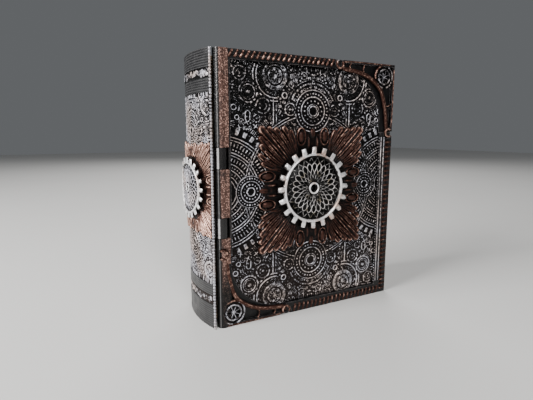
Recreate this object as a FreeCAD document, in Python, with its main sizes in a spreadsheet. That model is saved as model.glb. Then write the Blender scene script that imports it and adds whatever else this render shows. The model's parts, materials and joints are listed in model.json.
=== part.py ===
import FreeCAD, Part
import math
import os
import re
import Sketcher
from FreeCAD import Placement, Rotation, Vector

# A book-shaped cryptex: a hollow page block between two ornamented covers, with a curved
# spine. The front cover swings on a three-plus-two knuckle hinge, and five code rings in the
# fore-edge free a sliding bar whose prongs hold the cover shut.
#
# Every formula is written in the book's own axes: X from the front cover's hinge side to its
# fore-edge, Y from the front cover's face to the back, Z up from the shelf. centre_x and
# centre_y move the origin to the middle of the whole object's footprint.

SIZES = {
    # how far a cutting tool runs past what it cuts
    "overrun": 1.0,
    # whole book
    "book_height": 200.0,
    "cover_width": 160.0,
    "book_thick": 60.0,
    "centre_x": 73.0,
    "centre_y": 29.0,
    # covers: a board, a raised frame on it, and a relief panel inside the frame
    "board_left": 8.2,
    "board_face": 4.5,
    "cover_back": 9.0,
    "frame_face": 0.8,
    "back_board_face": 51.0,
    "spine_plane": -3.6,
    "open_left": 9.6,
    "open_right": 147.0,
    "open_low": 9.0,
    "open_high": 193.0,
    "open_corner": 40.0,
    "panel_gap": 0.2,
    "relief_top": 2.6,
    # corner ornaments
    "field_size": 54.0,
    "field_rim": 2.0,
    "field_floor": 3.0,
    "band_width": 3.6,
    "wheel_inset_x": 11.5,
    "wheel_inset_z": 10.5,
    "wheel_r": 7.8,
    "wheel_rim": 1.4,
    "wheel_hub_r": 2.2,
    "spoke_width": 1.1,
    "ornament_back": 2.9,
    "eyelet_r": 4.5,
    "eyelet_hole_r": 2.4,
    "eyelet_far_x": 57.1,
    "eyelet_far_z": 2.6,
    "eyelet_near_x": 4.2,
    "eyelet_near_z": 56.7,
    # rope mouldings
    "rope_width": 5.2,
    "rope_inset": 0.6,
    "rope_side_inset": 2.3,
    "rope_low": 2.0,
    "rope_gap": 0.2,
    "rope_end_gap": 1.0,
    # centre medallion of the front cover
    "medal_x": 79.6,
    "medal_z": 100.5,
    "leaf_size": 96.6,
    "leaf_top": 1.0,
    "gear_top": -2.0,
    "gear_tip_r": 32.4,
    "gear_root_r": 27.6,
    "gear_bore_r": 25.0,
    "tooth_width": 4.6,
    "mesh_top": -0.6,
    "hub_top": -1.4,
    "hub_r": 5.8,
    "hub_hole_r": 3.2,
    "hub_floor": 0.6,
    # hinge
    "hinge_x": 3.3,
    "hinge_y": 4.6,
    "barrel_r": 4.6,
    "pin_r": 1.5,
    "pin_play": 0.08,
    "pin_inset": 0.5,
    "arm_front": 0.4,
    "knuckle_gap": 0.4,
    "lower_knuckle_z": 68.3,
    "upper_knuckle_z": 118.3,
    "knuckle_length": 15.0,
    # spine
    "spine_axis_x": 76.0,
    "spine_axis_y": 31.0,
    "spine_shell_r": 84.4,
    "spine_band_r": 85.4,
    "spine_relief_r": 85.2,
    "spine_leaf_r": 87.4,
    "spine_mesh_r": 88.8,
    "spine_gear_r": 90.0,
    "spine_front": 1.8,
    "spine_back": 60.0,
    "spine_relief_low": 34.0,
    "spine_relief_high": 171.0,
    "spine_medal_z": 103.0,
    "spine_leaf_half": 34.5,
    "spine_leaf_span": 26.5,
    "spine_scale": 0.706,
    "bend_depth": 6.0,
    "band_inset": 1.1,
    "relief_inset": 2.4,
    "strip_front": 0.9,
    "strip_width": 1.6,
    # page block, a tray with a lock bay along the fore-edge
    "page_front": 9.4,
    "page_right": 154.5,
    "page_inset": 4.5,
    "page_wall": 3.0,
    "page_floor": 2.5,
    "bay_wall_x": 118.0,
    "groove_pitch": 3.0,
    "groove_width": 0.7,
    "groove_depth": 0.6,
    "plate_thick": 2.0,
    "plate_play": 0.15,
    "boss_size": 5.6,
    "screw_r": 1.25,
    "screw_head_r": 2.2,
    "screw_head": 1.4,
    "screw_length": 10.0,
    # code rings and their spindle
    "lock_x": 140.5,
    "lock_y": 30.0,
    "ring_pitch": 16.0,
    "ring_low": 60.0,
    "ring_gap": 0.4,
    "ring_r": 15.5,
    "ring_web": 4.0,
    "ring_bore_r": 7.08,
    "ring_cavity_r": 10.6,
    "notch_width": 3.8,
    "grip_r": 1.1,
    "spindle_r": 7.0,
    "spindle_hole_r": 4.2,
    "slot_width": 3.6,
    "window_half": 11.5,
    # end caps of the spindle
    "cap_low": 52.0,
    "cap_high": 153.7,
    "cap_left": 131.5,
    "cap_wide_left": 127.0,
    "cap_recess_top": 149.0,
    # lock bar
    "bar_thick": 3.0,
    "bar_front": 27.0,
    "bar_back": 33.0,
    "fin_front": 20.0,
    "fin_height": 5.0,
    "fin_lift": 2.5,
    "fin_root": 0.5,
    "bar_low": 22.0,
    "bar_high": 160.0,
    "arm_thick": 4.0,
    "lower_arm_z": 24.0,
    "upper_arm_z": 154.0,
    "prong_x": 128.8,
    "prong_y": 16.0,
    "prong_r": 1.6,
    "prong_length": 17.5,
    "arm_edge": 3.0,
    "slider_half": 6.0,
    "slider_out": 158.4,
    "slider_slot_half": 3.8,
    "slider_play": 0.6,
    "slider_gap": 0.4,
    "stem_half": 3.0,
    # keepers on the front cover
    "keeper_half": 4.5,
    "keeper_thick": 4.0,
    "keeper_hole_r": 2.6,
    "keeper_tip": 21.0,
    "keeper_rise": 2.0,
    "keeper_play": 0.8,
    "keeper_swing": 2.0,
    "keeper_screw_r": 1.0,
    "keeper_screw_head_r": 1.9,
    "keeper_screw_inset": 2.4,
    "keeper_screw_head": 1.5,
    "keeper_screw_bite": 3.0,
}

TOOTH_COUNT = 20
RING_COUNT = 5
GRIP_COUNT = 10
SPOKE_ANGLES = (0, 45, 90, 135)
EYELETS = (("eyelet_far_x", "eyelet_far_z"), ("eyelet_near_x", "eyelet_near_z"))
# heights on the spine: smooth raised bands, and the rough silver bands between them
SMOOTH_BANDS = ((0.0, 18.0), (25.5, 34.0), (171.0, 180.5), (187.5, 200.0))
SILVER_BANDS = ((18.0, 25.5), (180.5, 187.5))
# a plane just outside everything on the spine
SPINE_LIMIT = "spine_axis_x - spine_gear_r - overrun"

doc = FreeCAD.newDocument("cryptex")
sheet = doc.addObject("Spreadsheet::Sheet", "Sizes")
for row, (alias, value) in enumerate(SIZES.items(), start=1):
    sheet.set("A%d" % row, alias)
    sheet.set("B%d" % row, repr(value))
    sheet.setAlias("B%d" % row, alias)
doc.recompute()

nodes = []


def size(alias):
    """The value of one cell."""
    return float(sheet.get(alias))


def bind(item, path, formula):
    """Drive one property from the sheet. Words in the formula are cells."""
    text = re.sub(r"[a-z][a-z_]*", lambda word: "Sizes." + word.group(), str(formula))
    item.setExpression(path, text)


def move_to(item, x, y, z):
    """Place an object at a point given in the book's axes."""
    bind(item, "Placement.Base.x", "(%s) - centre_x" % x)
    bind(item, "Placement.Base.y", "(%s) - centre_y" % y)
    bind(item, "Placement.Base.z", z)


def keep(item, name):
    """Name an object as one sub-part of the book."""
    item.Label = name
    nodes.append(item)
    return item


def box(x0, x1, y0, y1, z0, z1):
    item = doc.addObject("Part::Box", "Box")
    bind(item, "Length", "(%s) - (%s)" % (x1, x0))
    bind(item, "Width", "(%s) - (%s)" % (y1, y0))
    bind(item, "Height", "(%s) - (%s)" % (z1, z0))
    move_to(item, x0, y0, z0)
    return item


def post(x, y, z0, z1, radius):
    """An upright cylinder."""
    item = doc.addObject("Part::Cylinder", "Post")
    bind(item, "Radius", radius)
    bind(item, "Height", "(%s) - (%s)" % (z1, z0))
    move_to(item, x, y, z0)
    return item


def disc(x, z, y0, y1, radius):
    """A cylinder whose axis runs from front to back."""
    item = doc.addObject("Part::Cylinder", "Disc")
    bind(item, "Radius", radius)
    bind(item, "Height", "(%s) - (%s)" % (y1, y0))
    item.Placement = Placement(Vector(), Rotation(Vector(1, 0, 0), -90))
    move_to(item, x, y0, z)
    return item


def fuse(*items):
    item = doc.addObject("Part::MultiFuse", "Fuse")
    item.Shapes = list(items)
    item.Refine = True
    return item


def cut(base, *tools):
    item = doc.addObject("Part::Cut", "Cut")
    item.Base = base
    item.Tool = tools[0] if len(tools) == 1 else fuse(*tools)
    item.Refine = True
    return item


def common(first, second):
    item = doc.addObject("Part::Common", "Common")
    item.Base = first
    item.Tool = second
    return item


def plane_of(body, role):
    return next(f for f in body.Origin.OriginFeatures if f.Role == role)


def new_sketch(body, role, name):
    sketch = body.newObject("Sketcher::SketchObject", name)
    sketch.AttachmentSupport = (plane_of(body, role), "")
    sketch.MapMode = "FlatFace"
    return sketch


def add_circle(sketch, radius, name):
    index = sketch.addGeometry(Part.Circle(Vector(), Vector(0, 0, 1), 1.0), False)
    sketch.addConstraint(Sketcher.Constraint("Coincident", index, 3, -1, 1))
    rule = sketch.addConstraint(Sketcher.Constraint("Radius", index, 1.0))
    sketch.renameConstraint(rule, name)
    bind(sketch, "Constraints." + name, radius)


def add_rectangle(sketch, left, right, low, high):
    """A closed rectangle held by its distances from the sketch's origin."""
    corners = [Vector(1, 1, 0), Vector(2, 1, 0), Vector(2, 2, 0), Vector(1, 2, 0)]
    lines = [Part.LineSegment(a, b) for a, b in zip(corners, corners[1:] + corners[:1])]
    first = sketch.addGeometry(lines, False)[0]
    for i in range(4):
        sketch.addConstraint(Sketcher.Constraint("Coincident", first + i, 2, first + (i + 1) % 4, 1))
        kind = "Horizontal" if i % 2 == 0 else "Vertical"
        sketch.addConstraint(Sketcher.Constraint(kind, first + i))
    places = (
        ("DistanceX", first, 1, "left", left),
        ("DistanceX", first + 1, 1, "right", right),
        ("DistanceY", first, 1, "low", low),
        ("DistanceY", first + 2, 1, "high", high),
    )
    for kind, line, point, name, formula in places:
        rule = sketch.addConstraint(Sketcher.Constraint(kind, -1, 1, line, point, 1.5))
        sketch.renameConstraint(rule, name)
        bind(sketch, "Constraints." + name, formula)


def pad(body, sketch, length, name):
    feature = body.newObject("PartDesign::Pad", name)
    feature.Profile = sketch
    bind(feature, "Length", length)
    doc.recompute()
    return feature


def ring_of(body, feature, count, name):
    """Repeat a feature round the body's Z axis."""
    pattern = body.newObject("PartDesign::PolarPattern", name)
    pattern.Originals = [feature]
    pattern.Axis = (plane_of(body, "Z_Axis"), [""])
    pattern.Angle = 360
    pattern.Occurrences = count
    body.Tip = pattern
    doc.recompute()
    return pattern


# ---------------------------------------------------------------- shared shapes


def gear_body(name, scale, length):
    """A ring with square teeth on its rim, flat on its own XY plane."""
    body = doc.addObject("PartDesign::Body", name)
    rim = new_sketch(body, "XY_Plane", "Rim")
    add_circle(rim, "gear_root_r * %s" % scale, "root")
    add_circle(rim, "gear_bore_r * %s" % scale, "bore")
    pad(body, rim, length, "RimPad")
    tooth = new_sketch(body, "XY_Plane", "Tooth")
    add_rectangle(
        tooth,
        "(gear_root_r + gear_bore_r) / 2 * %s" % scale,
        "gear_tip_r * %s" % scale,
        "-tooth_width / 2 * %s" % scale,
        "tooth_width / 2 * %s" % scale,
    )
    tooth_pad = pad(body, tooth, length, "ToothPad")
    ring_of(body, tooth_pad, TOOTH_COUNT, "Teeth")
    return body


def turn_body(body, x, y, z, rotation):
    """Stand a body up at a point given in the book's axes."""
    body.Placement = Placement(Vector(), rotation)
    move_to(body, x, y, z)


def panel(y0, y1, gap):
    """A plate that fills the frame's opening, round at two opposite corners."""
    left, right = "open_left + %s" % gap, "open_right - %s" % gap
    low, high = "open_low + %s" % gap, "open_high - %s" % gap
    whole = box(left, right, y0, y1, low, high)
    radius = "open_corner - %s" % gap
    top_x, top_z = "%s - (%s)" % (right, radius), "%s - (%s)" % (high, radius)
    low_x, low_z = "%s + %s" % (left, radius), "%s + %s" % (low, radius)
    top_corner = cut(box(top_x, right, y0, y1, top_z, high), disc(top_x, top_z, y0, y1, radius))
    low_corner = cut(box(left, low_x, y0, y1, low, low_z), disc(low_x, low_z, y0, y1, radius))
    return cut(whole, top_corner, low_corner)


def cover_frame(low, high, field_low, field_high, ornaments):
    """The raised border of a cover, with a lowered field at two opposite corners.

    The fields reach from field_low to field_high, and the ornaments are let into them.
    """
    plate = box("board_left", "cover_width", low, high, "0", "book_height")
    opening = panel("(%s) - overrun" % low, "(%s) + overrun" % high, "0")
    top_field = box(
        "cover_width - field_rim - field_size", "cover_width - field_rim", field_low, field_high,
        "book_height - field_rim - field_size", "book_height - field_rim",
    )
    low_field = box(
        "board_left - overrun", "field_rim + field_size", field_low, field_high,
        "field_rim", "field_rim + field_size",
    )
    return cut(plate, opening, top_field, low_field, *ornaments)


def corner_point(inset_x, inset_z, at_top):
    """A point measured from the top fore-edge corner, or from the bottom hinge corner."""
    if at_top:
        return "cover_width - (%s)" % inset_x, "book_height - (%s)" % inset_z
    return "hinge_x - barrel_r + %s" % inset_x, inset_z


def corner_ornament(y0, y1, at_top):
    """A curved band that follows the opening's round corner, ending in two eyelets."""
    if at_top:
        cx, cz = "open_right - open_corner", "open_high - open_corner"
        quadrant = box(cx, "cover_width", y0, y1, cz, "book_height")
    else:
        cx, cz = "open_left + open_corner", "open_low + open_corner"
        quadrant = box("0", cx, y0, y1, "0", cz)
    outer = disc(cx, cz, y0, y1, "open_corner + band_width")
    band = common(cut(outer, disc(cx, cz, y0, y1, "open_corner")), quadrant)
    eyelets = []
    holes = []
    for inset_x, inset_z in EYELETS:
        x, z = corner_point(inset_x, inset_z, at_top)
        eyelets.append(disc(x, z, y0, y1, "eyelet_r"))
        holes.append(disc(x, z, "(%s) - overrun" % y0, "(%s) + overrun" % y1, "eyelet_hole_r"))
    limits = box("0", "cover_width", y0, y1, "0", "book_height")
    return cut(common(fuse(band, *eyelets), limits), *holes)


def corner_wheel(y0, y1, at_top):
    """A spoked wheel set in the corner field."""
    x, z = corner_point("wheel_inset_x", "wheel_inset_z", at_top)
    inside = disc(x, z, "(%s) - overrun" % y0, "(%s) + overrun" % y1, "wheel_r - wheel_rim")
    rim = cut(disc(x, z, y0, y1, "wheel_r"), inside)
    pieces = [rim, disc(x, z, y0, y1, "wheel_hub_r")]
    for angle in SPOKE_ANGLES:
        spoke = doc.addObject("Part::Box", "Spoke")
        bind(spoke, "Length", "2 * wheel_r - wheel_rim")
        bind(spoke, "Width", "(%s) - (%s)" % (y1, y0))
        bind(spoke, "Height", "spoke_width")
        turn = Rotation(Vector(0, 1, 0), angle)
        half = Vector(size("wheel_r") - size("wheel_rim") / 2, 0, size("spoke_width") / 2)
        shift = turn.multVec(half)
        spoke.Placement = Placement(Vector(), turn)
        move_to(spoke, "(%s) - (%s)" % (x, shift.x), y0, "(%s) - (%s)" % (z, shift.z))
        pieces.append(spoke)
    return fuse(*pieces)


def ropes(y0, y1, prefix):
    """Three twisted mouldings: along the top, along the bottom and up the fore-edge."""
    top = box(
        "board_left", "cover_width - eyelet_far_x - eyelet_r - rope_end_gap", y0, y1,
        "book_height - rope_inset - rope_width", "book_height - rope_inset",
    )
    bottom = box(
        "eyelet_far_x + eyelet_r", "cover_width - rope_side_inset - rope_width - rope_gap", y0, y1,
        "rope_low", "rope_low + rope_width",
    )
    side = box(
        "cover_width - rope_side_inset - rope_width", "cover_width - rope_side_inset", y0, y1,
        "rope_low", "book_height - eyelet_near_z - eyelet_r - rope_end_gap",
    )
    keep(top, prefix + "rope_rim_top")
    keep(bottom, prefix + "rope_rim_bottom")
    keep(side, prefix + "rope_rim_side")


# ---------------------------------------------------------------- front cover


def corner_pieces(y0, y1, prefix):
    """Both corners' ornaments and wheels, as sub-parts."""
    pieces = []
    for at_top, place in ((True, "top"), (False, "bottom")):
        pieces.append(keep(corner_ornament(y0, y1, at_top), prefix + "corner_ornament_" + place))
        pieces.append(keep(corner_wheel(y0, y1, at_top), prefix + "corner_wheel_" + place))
    return pieces


def front_cover():
    board = box("board_left", "cover_width", "board_face", "cover_back", "0", "book_height")
    holes = [hole for z in keeper_heights() for hole in keeper_fasteners(z)]
    keep(cut(board, *holes), "cover_board")
    corners = corner_pieces("0", "ornament_back", "")
    frame = cover_frame("frame_face", "board_face", "0", "field_floor", corners)
    keep(frame, "cover_frame")
    keep(panel("relief_top", "board_face", "panel_gap"), "cover_relief")
    ropes("0", "frame_face", "")
    return corners


def medallion():
    """Acanthus plate, toothed ring, pierced rosette and hub, stacked on the relief panel."""
    half = "leaf_size / 2"
    leaf = box(
        "medal_x - " + half, "medal_x + " + half, "leaf_top", "relief_top",
        "medal_z - " + half, "medal_z + " + half,
    )
    keep(leaf, "leaf_plate")
    gear = gear_body("RingGear", 1, "leaf_top - gear_top")
    turn_body(gear, "medal_x", "leaf_top", "medal_z", Rotation(Vector(1, 0, 0), 90))
    keep(gear, "ring_gear")
    rosette = disc("medal_x", "medal_z", "mesh_top", "leaf_top", "gear_bore_r")
    seat = disc("medal_x", "medal_z", "mesh_top - overrun", "leaf_top + overrun", "hub_r")
    keep(cut(rosette, seat), "rosette_mesh")
    hub = disc("medal_x", "medal_z", "hub_top", "leaf_top", "hub_r")
    eye = disc("medal_x", "medal_z", "hub_top - overrun", "leaf_top - hub_floor", "hub_hole_r")
    keep(cut(hub, eye), "hub_ring")


# ---------------------------------------------------------------- hinge


def barrel(z0, z1, bore):
    return (
        post("hinge_x", "hinge_y", z0, z1, "barrel_r"),
        post("hinge_x", "hinge_y", "(%s) - overrun" % z0, "(%s) + overrun" % z1, bore),
    )


def cover_knuckle(z0, z1, bore="pin_r + pin_play"):
    solid, hole = barrel(z0, z1, bore)
    arm = box("hinge_x", "board_left", "arm_front", "cover_back", z0, z1)
    return cut(fuse(solid, arm), hole)


def spine_knuckle(z0):
    z1 = z0 + " + knuckle_length"
    low, high = z0 + " + knuckle_gap / 2", z1 + " - knuckle_gap / 2"
    solid, hole = barrel(low, high, "pin_r")
    arm = box("spine_plane", "hinge_x", "hinge_y", "page_front", low, high)
    return cut(fuse(solid, arm), hole)


def hinge(corners):
    half_gap = "knuckle_gap / 2"
    low = cover_knuckle("0", "lower_knuckle_z - " + half_gap)
    keep(cut(low, *corners), "cover_knuckle_bottom")
    keep(
        cover_knuckle(
            "lower_knuckle_z + knuckle_length + " + half_gap, "upper_knuckle_z - " + half_gap
        ),
        "cover_knuckle_middle",
    )
    keep(
        cover_knuckle("upper_knuckle_z + knuckle_length + " + half_gap, "book_height"),
        "cover_knuckle_top",
    )
    keep(spine_knuckle("lower_knuckle_z"), "spine_knuckle_lower")
    keep(spine_knuckle("upper_knuckle_z"), "spine_knuckle_upper")
    keep(post("hinge_x", "hinge_y", "pin_inset", "book_height - pin_inset", "pin_r"), "hinge_pin")


# ---------------------------------------------------------------- back cover


def back_cover():
    """The front cover's board, frame, panel and corners, seen in a mirror."""
    frame_low, frame_high = "book_thick - board_face", "book_thick - frame_face"
    board = box("spine_plane", "cover_width", "back_board_face", frame_low, "0", "book_height")
    keep(board, "back_board")
    corners = corner_pieces("book_thick - ornament_back", "book_thick", "back_")
    frame = cover_frame(
        frame_low, frame_high, "book_thick - field_floor", "book_thick", corners
    )
    keep(frame, "back_frame")
    keep(panel(frame_low, "book_thick - relief_top", "panel_gap"), "back_relief")
    ropes(frame_high, "book_thick", "back_")
    strip = box("spine_plane", "board_left", frame_low, frame_high, "0", "book_height")
    keep(cut(strip, *corners), "back_hinge_strip")


# ---------------------------------------------------------------- spine


def spine_skin(inner, outer, y0, y1, z0, z1):
    """A curved layer of the spine between two radii."""
    axis = ("spine_axis_x", "spine_axis_y")
    whole = cut(post(*axis, z0, z1, outer), post(*axis, "(%s) - overrun" % z0, "(%s) + overrun" % z1, inner))
    return common(whole, box(SPINE_LIMIT, "spine_plane", y0, y1, z0, z1))


def spine():
    axis = ("spine_axis_x", "spine_axis_y")
    whole = post(*axis, "0", "book_height", "spine_shell_r")
    slab = box(SPINE_LIMIT, "spine_plane", "spine_front", "spine_back", "0", "book_height")
    keep(common(whole, slab), "spine_shell")
    for name, heights in (("smooth", SMOOTH_BANDS), ("silver", SILVER_BANDS)):
        layers = [
            spine_skin("spine_shell_r", "spine_band_r", "spine_front + band_inset", "spine_back", z0, z1)
            for z0, z1 in heights
        ]
        keep(fuse(*layers), "spine_bands_" + name)
    relief = spine_skin(
        "spine_shell_r", "spine_relief_r", "spine_front + relief_inset", "spine_back - relief_inset",
        "spine_relief_low", "spine_relief_high",
    )
    keep(relief, "spine_relief")
    leaf = spine_skin(
        "spine_relief_r", "spine_leaf_r",
        "spine_axis_y - spine_leaf_span", "spine_axis_y + spine_leaf_span",
        "spine_medal_z - spine_leaf_half", "spine_medal_z + spine_leaf_half",
    )
    keep(leaf, "spine_leaf")
    strip = box(
        "spine_plane - strip_width", "spine_plane", "strip_front", "spine_front", "0", "book_height"
    )
    keep(strip, "spine_edge_strip")
    spine_medallion()


def spine_medallion():
    """The same toothed ring and rosette, smaller and bent to the spine's curve."""
    z0, z1 = "spine_medal_z - spine_leaf_half", "spine_medal_z + spine_leaf_half"
    blank = gear_body("SpineGear", "spine_scale", "spine_gear_r - spine_leaf_r + bend_depth + overrun")
    facing = Rotation(Vector(0, 1, 0), -90)
    turn_body(blank, "spine_axis_x - spine_leaf_r + bend_depth", "spine_axis_y", "spine_medal_z", facing)
    layer = spine_skin("spine_leaf_r", "spine_gear_r", "0", "book_thick", z0, z1)
    keep(common(blank, layer), "spine_gear")
    core = doc.addObject("Part::Cylinder", "SpineCore")
    bind(core, "Radius", "gear_bore_r * spine_scale")
    bind(core, "Height", "spine_mesh_r - spine_leaf_r + bend_depth + overrun")
    core.Placement = Placement(Vector(), facing)
    move_to(core, "spine_axis_x - spine_leaf_r + bend_depth", "spine_axis_y", "spine_medal_z")
    thin_layer = spine_skin("spine_leaf_r", "spine_mesh_r", "0", "book_thick", z0, z1)
    keep(common(core, thin_layer), "spine_rosette")


# ---------------------------------------------------------------- page block


def page_block():
    low, high = "page_inset", "book_height - page_inset"
    block = box("spine_plane", "page_right", "page_front", "back_board_face", low, high)
    hollow = box(
        "spine_plane + page_wall", "bay_wall_x", "page_front - overrun", "back_board_face - page_floor",
        low + " + page_wall", high + " - page_wall",
    )
    bay = box(
        "bay_wall_x + page_wall", "page_right - page_wall", "page_front - overrun",
        "back_board_face - page_floor", low + " + page_wall", high + " - page_wall",
    )
    window = box(
        "page_right - page_wall - overrun", "page_right + overrun",
        "lock_y - window_half", "lock_y + window_half",
        "ring_low - ring_gap", "ring_low + ring_pitch * %d" % RING_COUNT,
    )
    slider_slot = box(
        "page_right - page_wall - overrun", "page_right + overrun",
        "lock_y - slider_slot_half", "lock_y + slider_slot_half",
        "upper_arm_z - slider_play", "upper_arm_z + arm_thick + ring_pitch + slider_play",
    )
    shell = cut(block, hollow, bay, window, slider_slot, *page_grooves(low, high))
    bosses = [boss for boss, _ in lock_plate_corners()]
    holes = [screw_hole(x, z) for _, (x, z) in lock_plate_corners()]
    keep(cut(fuse(shell, *bosses), *holes), "page_box")


def page_grooves(low, high):
    """Shallow grooves round the three open sides, which read as the edges of pages."""
    grooves = []
    span = size("back_board_face") - size("page_front")
    count = int(span / size("groove_pitch"))
    for i in range(1, count + 1):
        y0 = "page_front + groove_pitch * %d - groove_pitch / 2" % i
        y1 = y0 + " + groove_width"
        grooves.append(box("page_right - groove_depth", "page_right + overrun", y0, y1, low, high))
        top = (high + " - groove_depth", high + " + overrun")
        bottom = (low + " - overrun", low + " + groove_depth")
        for z0, z1 in (top, bottom):
            grooves.append(box("spine_plane", "page_right + overrun", y0, y1, z0, z1))
    return grooves


def lock_plate_corners():
    """The bay's four corner bosses, and the centre of the screw in each."""
    bay_left, bay_right = "bay_wall_x + page_wall", "page_right - page_wall"
    bay_low, bay_high = "page_inset + page_wall", "book_height - page_inset - page_wall"
    corners = []
    for x0, x1 in ((bay_left, bay_left + " + boss_size"), (bay_right + " - boss_size", bay_right)):
        for z0, z1 in ((bay_low, bay_low + " + boss_size"), (bay_high + " - boss_size", bay_high)):
            boss = box(x0, x1, "page_front + plate_thick", "back_board_face - page_floor", z0, z1)
            corners.append((boss, ("%s + boss_size / 2" % x0, "%s + boss_size / 2" % z0)))
    return corners


def screw_hole(x, z):
    top = "page_front + screw_head"
    return disc(x, z, top, top + " + screw_length", "screw_r")


def lock_plate():
    """The plate that closes the lock bay, with a slot for each keeper, and its screws."""
    plate = box(
        "bay_wall_x + page_wall + plate_play", "page_right - page_wall - plate_play",
        "page_front", "page_front + plate_thick",
        "page_inset + page_wall + plate_play", "book_height - page_inset - page_wall - plate_play",
    )
    tools = []
    for z in keeper_heights():
        tools.append(
            box(
                "prong_x - keeper_half - keeper_play", "prong_x + keeper_half + keeper_swing",
                "page_front - overrun", "page_front + plate_thick + overrun",
                z + " - keeper_play", z + " + keeper_thick + keeper_play",
            )
        )
    screws = []
    for _, (x, z) in lock_plate_corners():
        head = disc(x, z, "page_front", "page_front + screw_head", "screw_head_r")
        shank = disc(x, z, "page_front + screw_head", "page_front + screw_head + screw_length", "screw_r")
        tools.append(head)
        tools.append(disc(x, z, "page_front", "page_front + plate_thick + overrun", "screw_r"))
        screws.append(fuse(head, shank))
    keep(cut(plate, *tools), "lock_plate")
    group = doc.addObject("Part::Compound", "Screws")
    group.Links = screws
    keep(group, "lock_plate_screws")


# ---------------------------------------------------------------- code rings


def code_ring(index):
    """A ring with a notched web at its top, a free cavity below it and finger grips."""
    body = doc.addObject("PartDesign::Body", "Ring%d" % index)
    outer = new_sketch(body, "XY_Plane", "Outer")
    add_circle(outer, "ring_r", "rim")
    add_circle(outer, "ring_bore_r", "bore")
    pad(body, outer, "ring_pitch - ring_gap", "RingPad")
    cavity = new_sketch(body, "XY_Plane", "Cavity")
    add_circle(cavity, "ring_cavity_r", "wall")
    pocket(body, cavity, "ring_pitch - ring_gap - ring_web", "CavityPocket")
    notch = new_sketch(body, "XY_Plane", "Notch")
    add_rectangle(notch, "-notch_width / 2", "notch_width / 2", "-ring_cavity_r", "-ring_bore_r / 2")
    pocket(body, notch, "ring_pitch", "NotchPocket")
    grip = new_sketch(body, "XY_Plane", "Grip")
    centre = Vector(1, 1, 0)
    circle = grip.addGeometry(Part.Circle(centre, Vector(0, 0, 1), 1.0), False)
    half_step = math.pi / GRIP_COUNT
    for kind, share, name in (
        ("DistanceX", math.cos(half_step), "grip_x"),
        ("DistanceY", math.sin(half_step), "grip_y"),
    ):
        rule = grip.addConstraint(Sketcher.Constraint(kind, -1, 1, circle, 3, 1.0))
        grip.renameConstraint(rule, name)
        bind(grip, "Constraints." + name, "(ring_r + grip_r / 3) * %.6f" % share)
    rule = grip.addConstraint(Sketcher.Constraint("Radius", circle, 1.0))
    grip.renameConstraint(rule, "grip")
    bind(grip, "Constraints.grip", "grip_r")
    groove = pocket(body, grip, "ring_pitch", "GripPocket")
    ring_of(body, groove, GRIP_COUNT, "Grips")
    turn_body(body, "lock_x", "lock_y", "ring_low + ring_pitch * %d" % (index - 1), Rotation())
    keep(body, "code_ring_%d" % index)


def pocket(body, sketch, depth, name):
    """A pocket cut upward from the body's base plane."""
    before = body.Shape.Volume
    feature = body.newObject("PartDesign::Pocket", name)
    feature.Profile = sketch
    feature.Reversed = True
    bind(feature, "Length", depth)
    doc.recompute()
    if body.Shape.Volume >= before:
        raise ValueError(name + " cuts nothing")
    return feature


def spindle():
    """The fixed tube that the rings turn on, slotted along its front."""
    z0, z1 = "cap_low", "cap_high"
    tube = post("lock_x", "lock_y", z0, z1, "spindle_r")
    hole = post("lock_x", "lock_y", z0 + " - overrun", z1 + " + overrun", "spindle_hole_r")
    slot = box(
        "lock_x - slot_width / 2", "lock_x + slot_width / 2", "lock_y - spindle_r - overrun", "lock_y",
        z0 + " - overrun", z1 + " + overrun",
    )
    keep(cut(tube, hole, slot), "lock_spindle")


def end_caps():
    """The two blocks that hold the spindle between the tray's floor and the lock plate."""
    front, back = "page_front + plate_thick", "back_board_face - page_floor"
    right = "page_right - page_wall"
    ring_top = "ring_low + ring_pitch * %d" % RING_COUNT
    lower = box("cap_left", right, front, back, "cap_low", "ring_low - ring_gap / 2")
    lower_bore = post("lock_x", "lock_y", "cap_low - overrun", "ring_low + overrun", "spindle_r")
    keep(cut(lower, lower_bore), "lock_cap_lower")
    upper = box("cap_wide_left", right, front, back, ring_top, "cap_high")
    upper_bore = post("lock_x", "lock_y", ring_top + " - overrun", "cap_high + overrun", "spindle_r")
    recess = post("lock_x", "lock_y", ring_top + " - overrun", "cap_recess_top", "ring_cavity_r")
    keep(cut(upper, upper_bore, recess), "lock_cap_upper")


# ---------------------------------------------------------------- lock bar


def lock_bar():
    """A flat comb: its back slides in the spindle, its fins stand in the rings' cavities."""
    left, right = "lock_x - bar_thick / 2", "lock_x + bar_thick / 2"
    pieces = [box(left, right, "bar_front", "bar_back", "bar_low", "bar_high")]
    for index in range(RING_COUNT):
        z0 = "ring_low + ring_pitch * %d + fin_lift" % index
        pieces.append(box(left, right, "fin_front", "bar_front + fin_root", z0, z0 + " + fin_height"))
    keep(fuse(*pieces), "lock_bar")


def latch_arm(z0, name):
    """A plate on the bar's end with an upright prong that enters a keeper."""
    z1 = z0 + " + arm_thick"
    plate = box(
        "prong_x - arm_edge", "lock_x + arm_edge", "prong_y - arm_edge", "bar_back + arm_edge", z0, z1
    )
    socket = box(
        "lock_x - bar_thick / 2", "lock_x + bar_thick / 2", "bar_front", "bar_back",
        z0 + " - overrun", z1 + " + overrun",
    )
    prong = post("prong_x", "prong_y", z1, z1 + " + prong_length", "prong_r")
    keep(fuse(cut(plate, socket), prong), name)


def thumb_slider():
    """The knob outside the fore-edge that pushes the bar, on a stem through the wall."""
    middle = "upper_arm_z + arm_thick / 2"
    stem = box(
        "lock_x + arm_edge", "page_right + overrun", "lock_y - stem_half", "lock_y + stem_half",
        "upper_arm_z", "upper_arm_z + arm_thick",
    )
    knob = box(
        "page_right + slider_gap", "slider_out", "lock_y - slider_half", "lock_y + slider_half",
        middle + " - slider_half", middle + " + slider_half",
    )
    keep(fuse(stem, knob), "thumb_slider")


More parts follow.
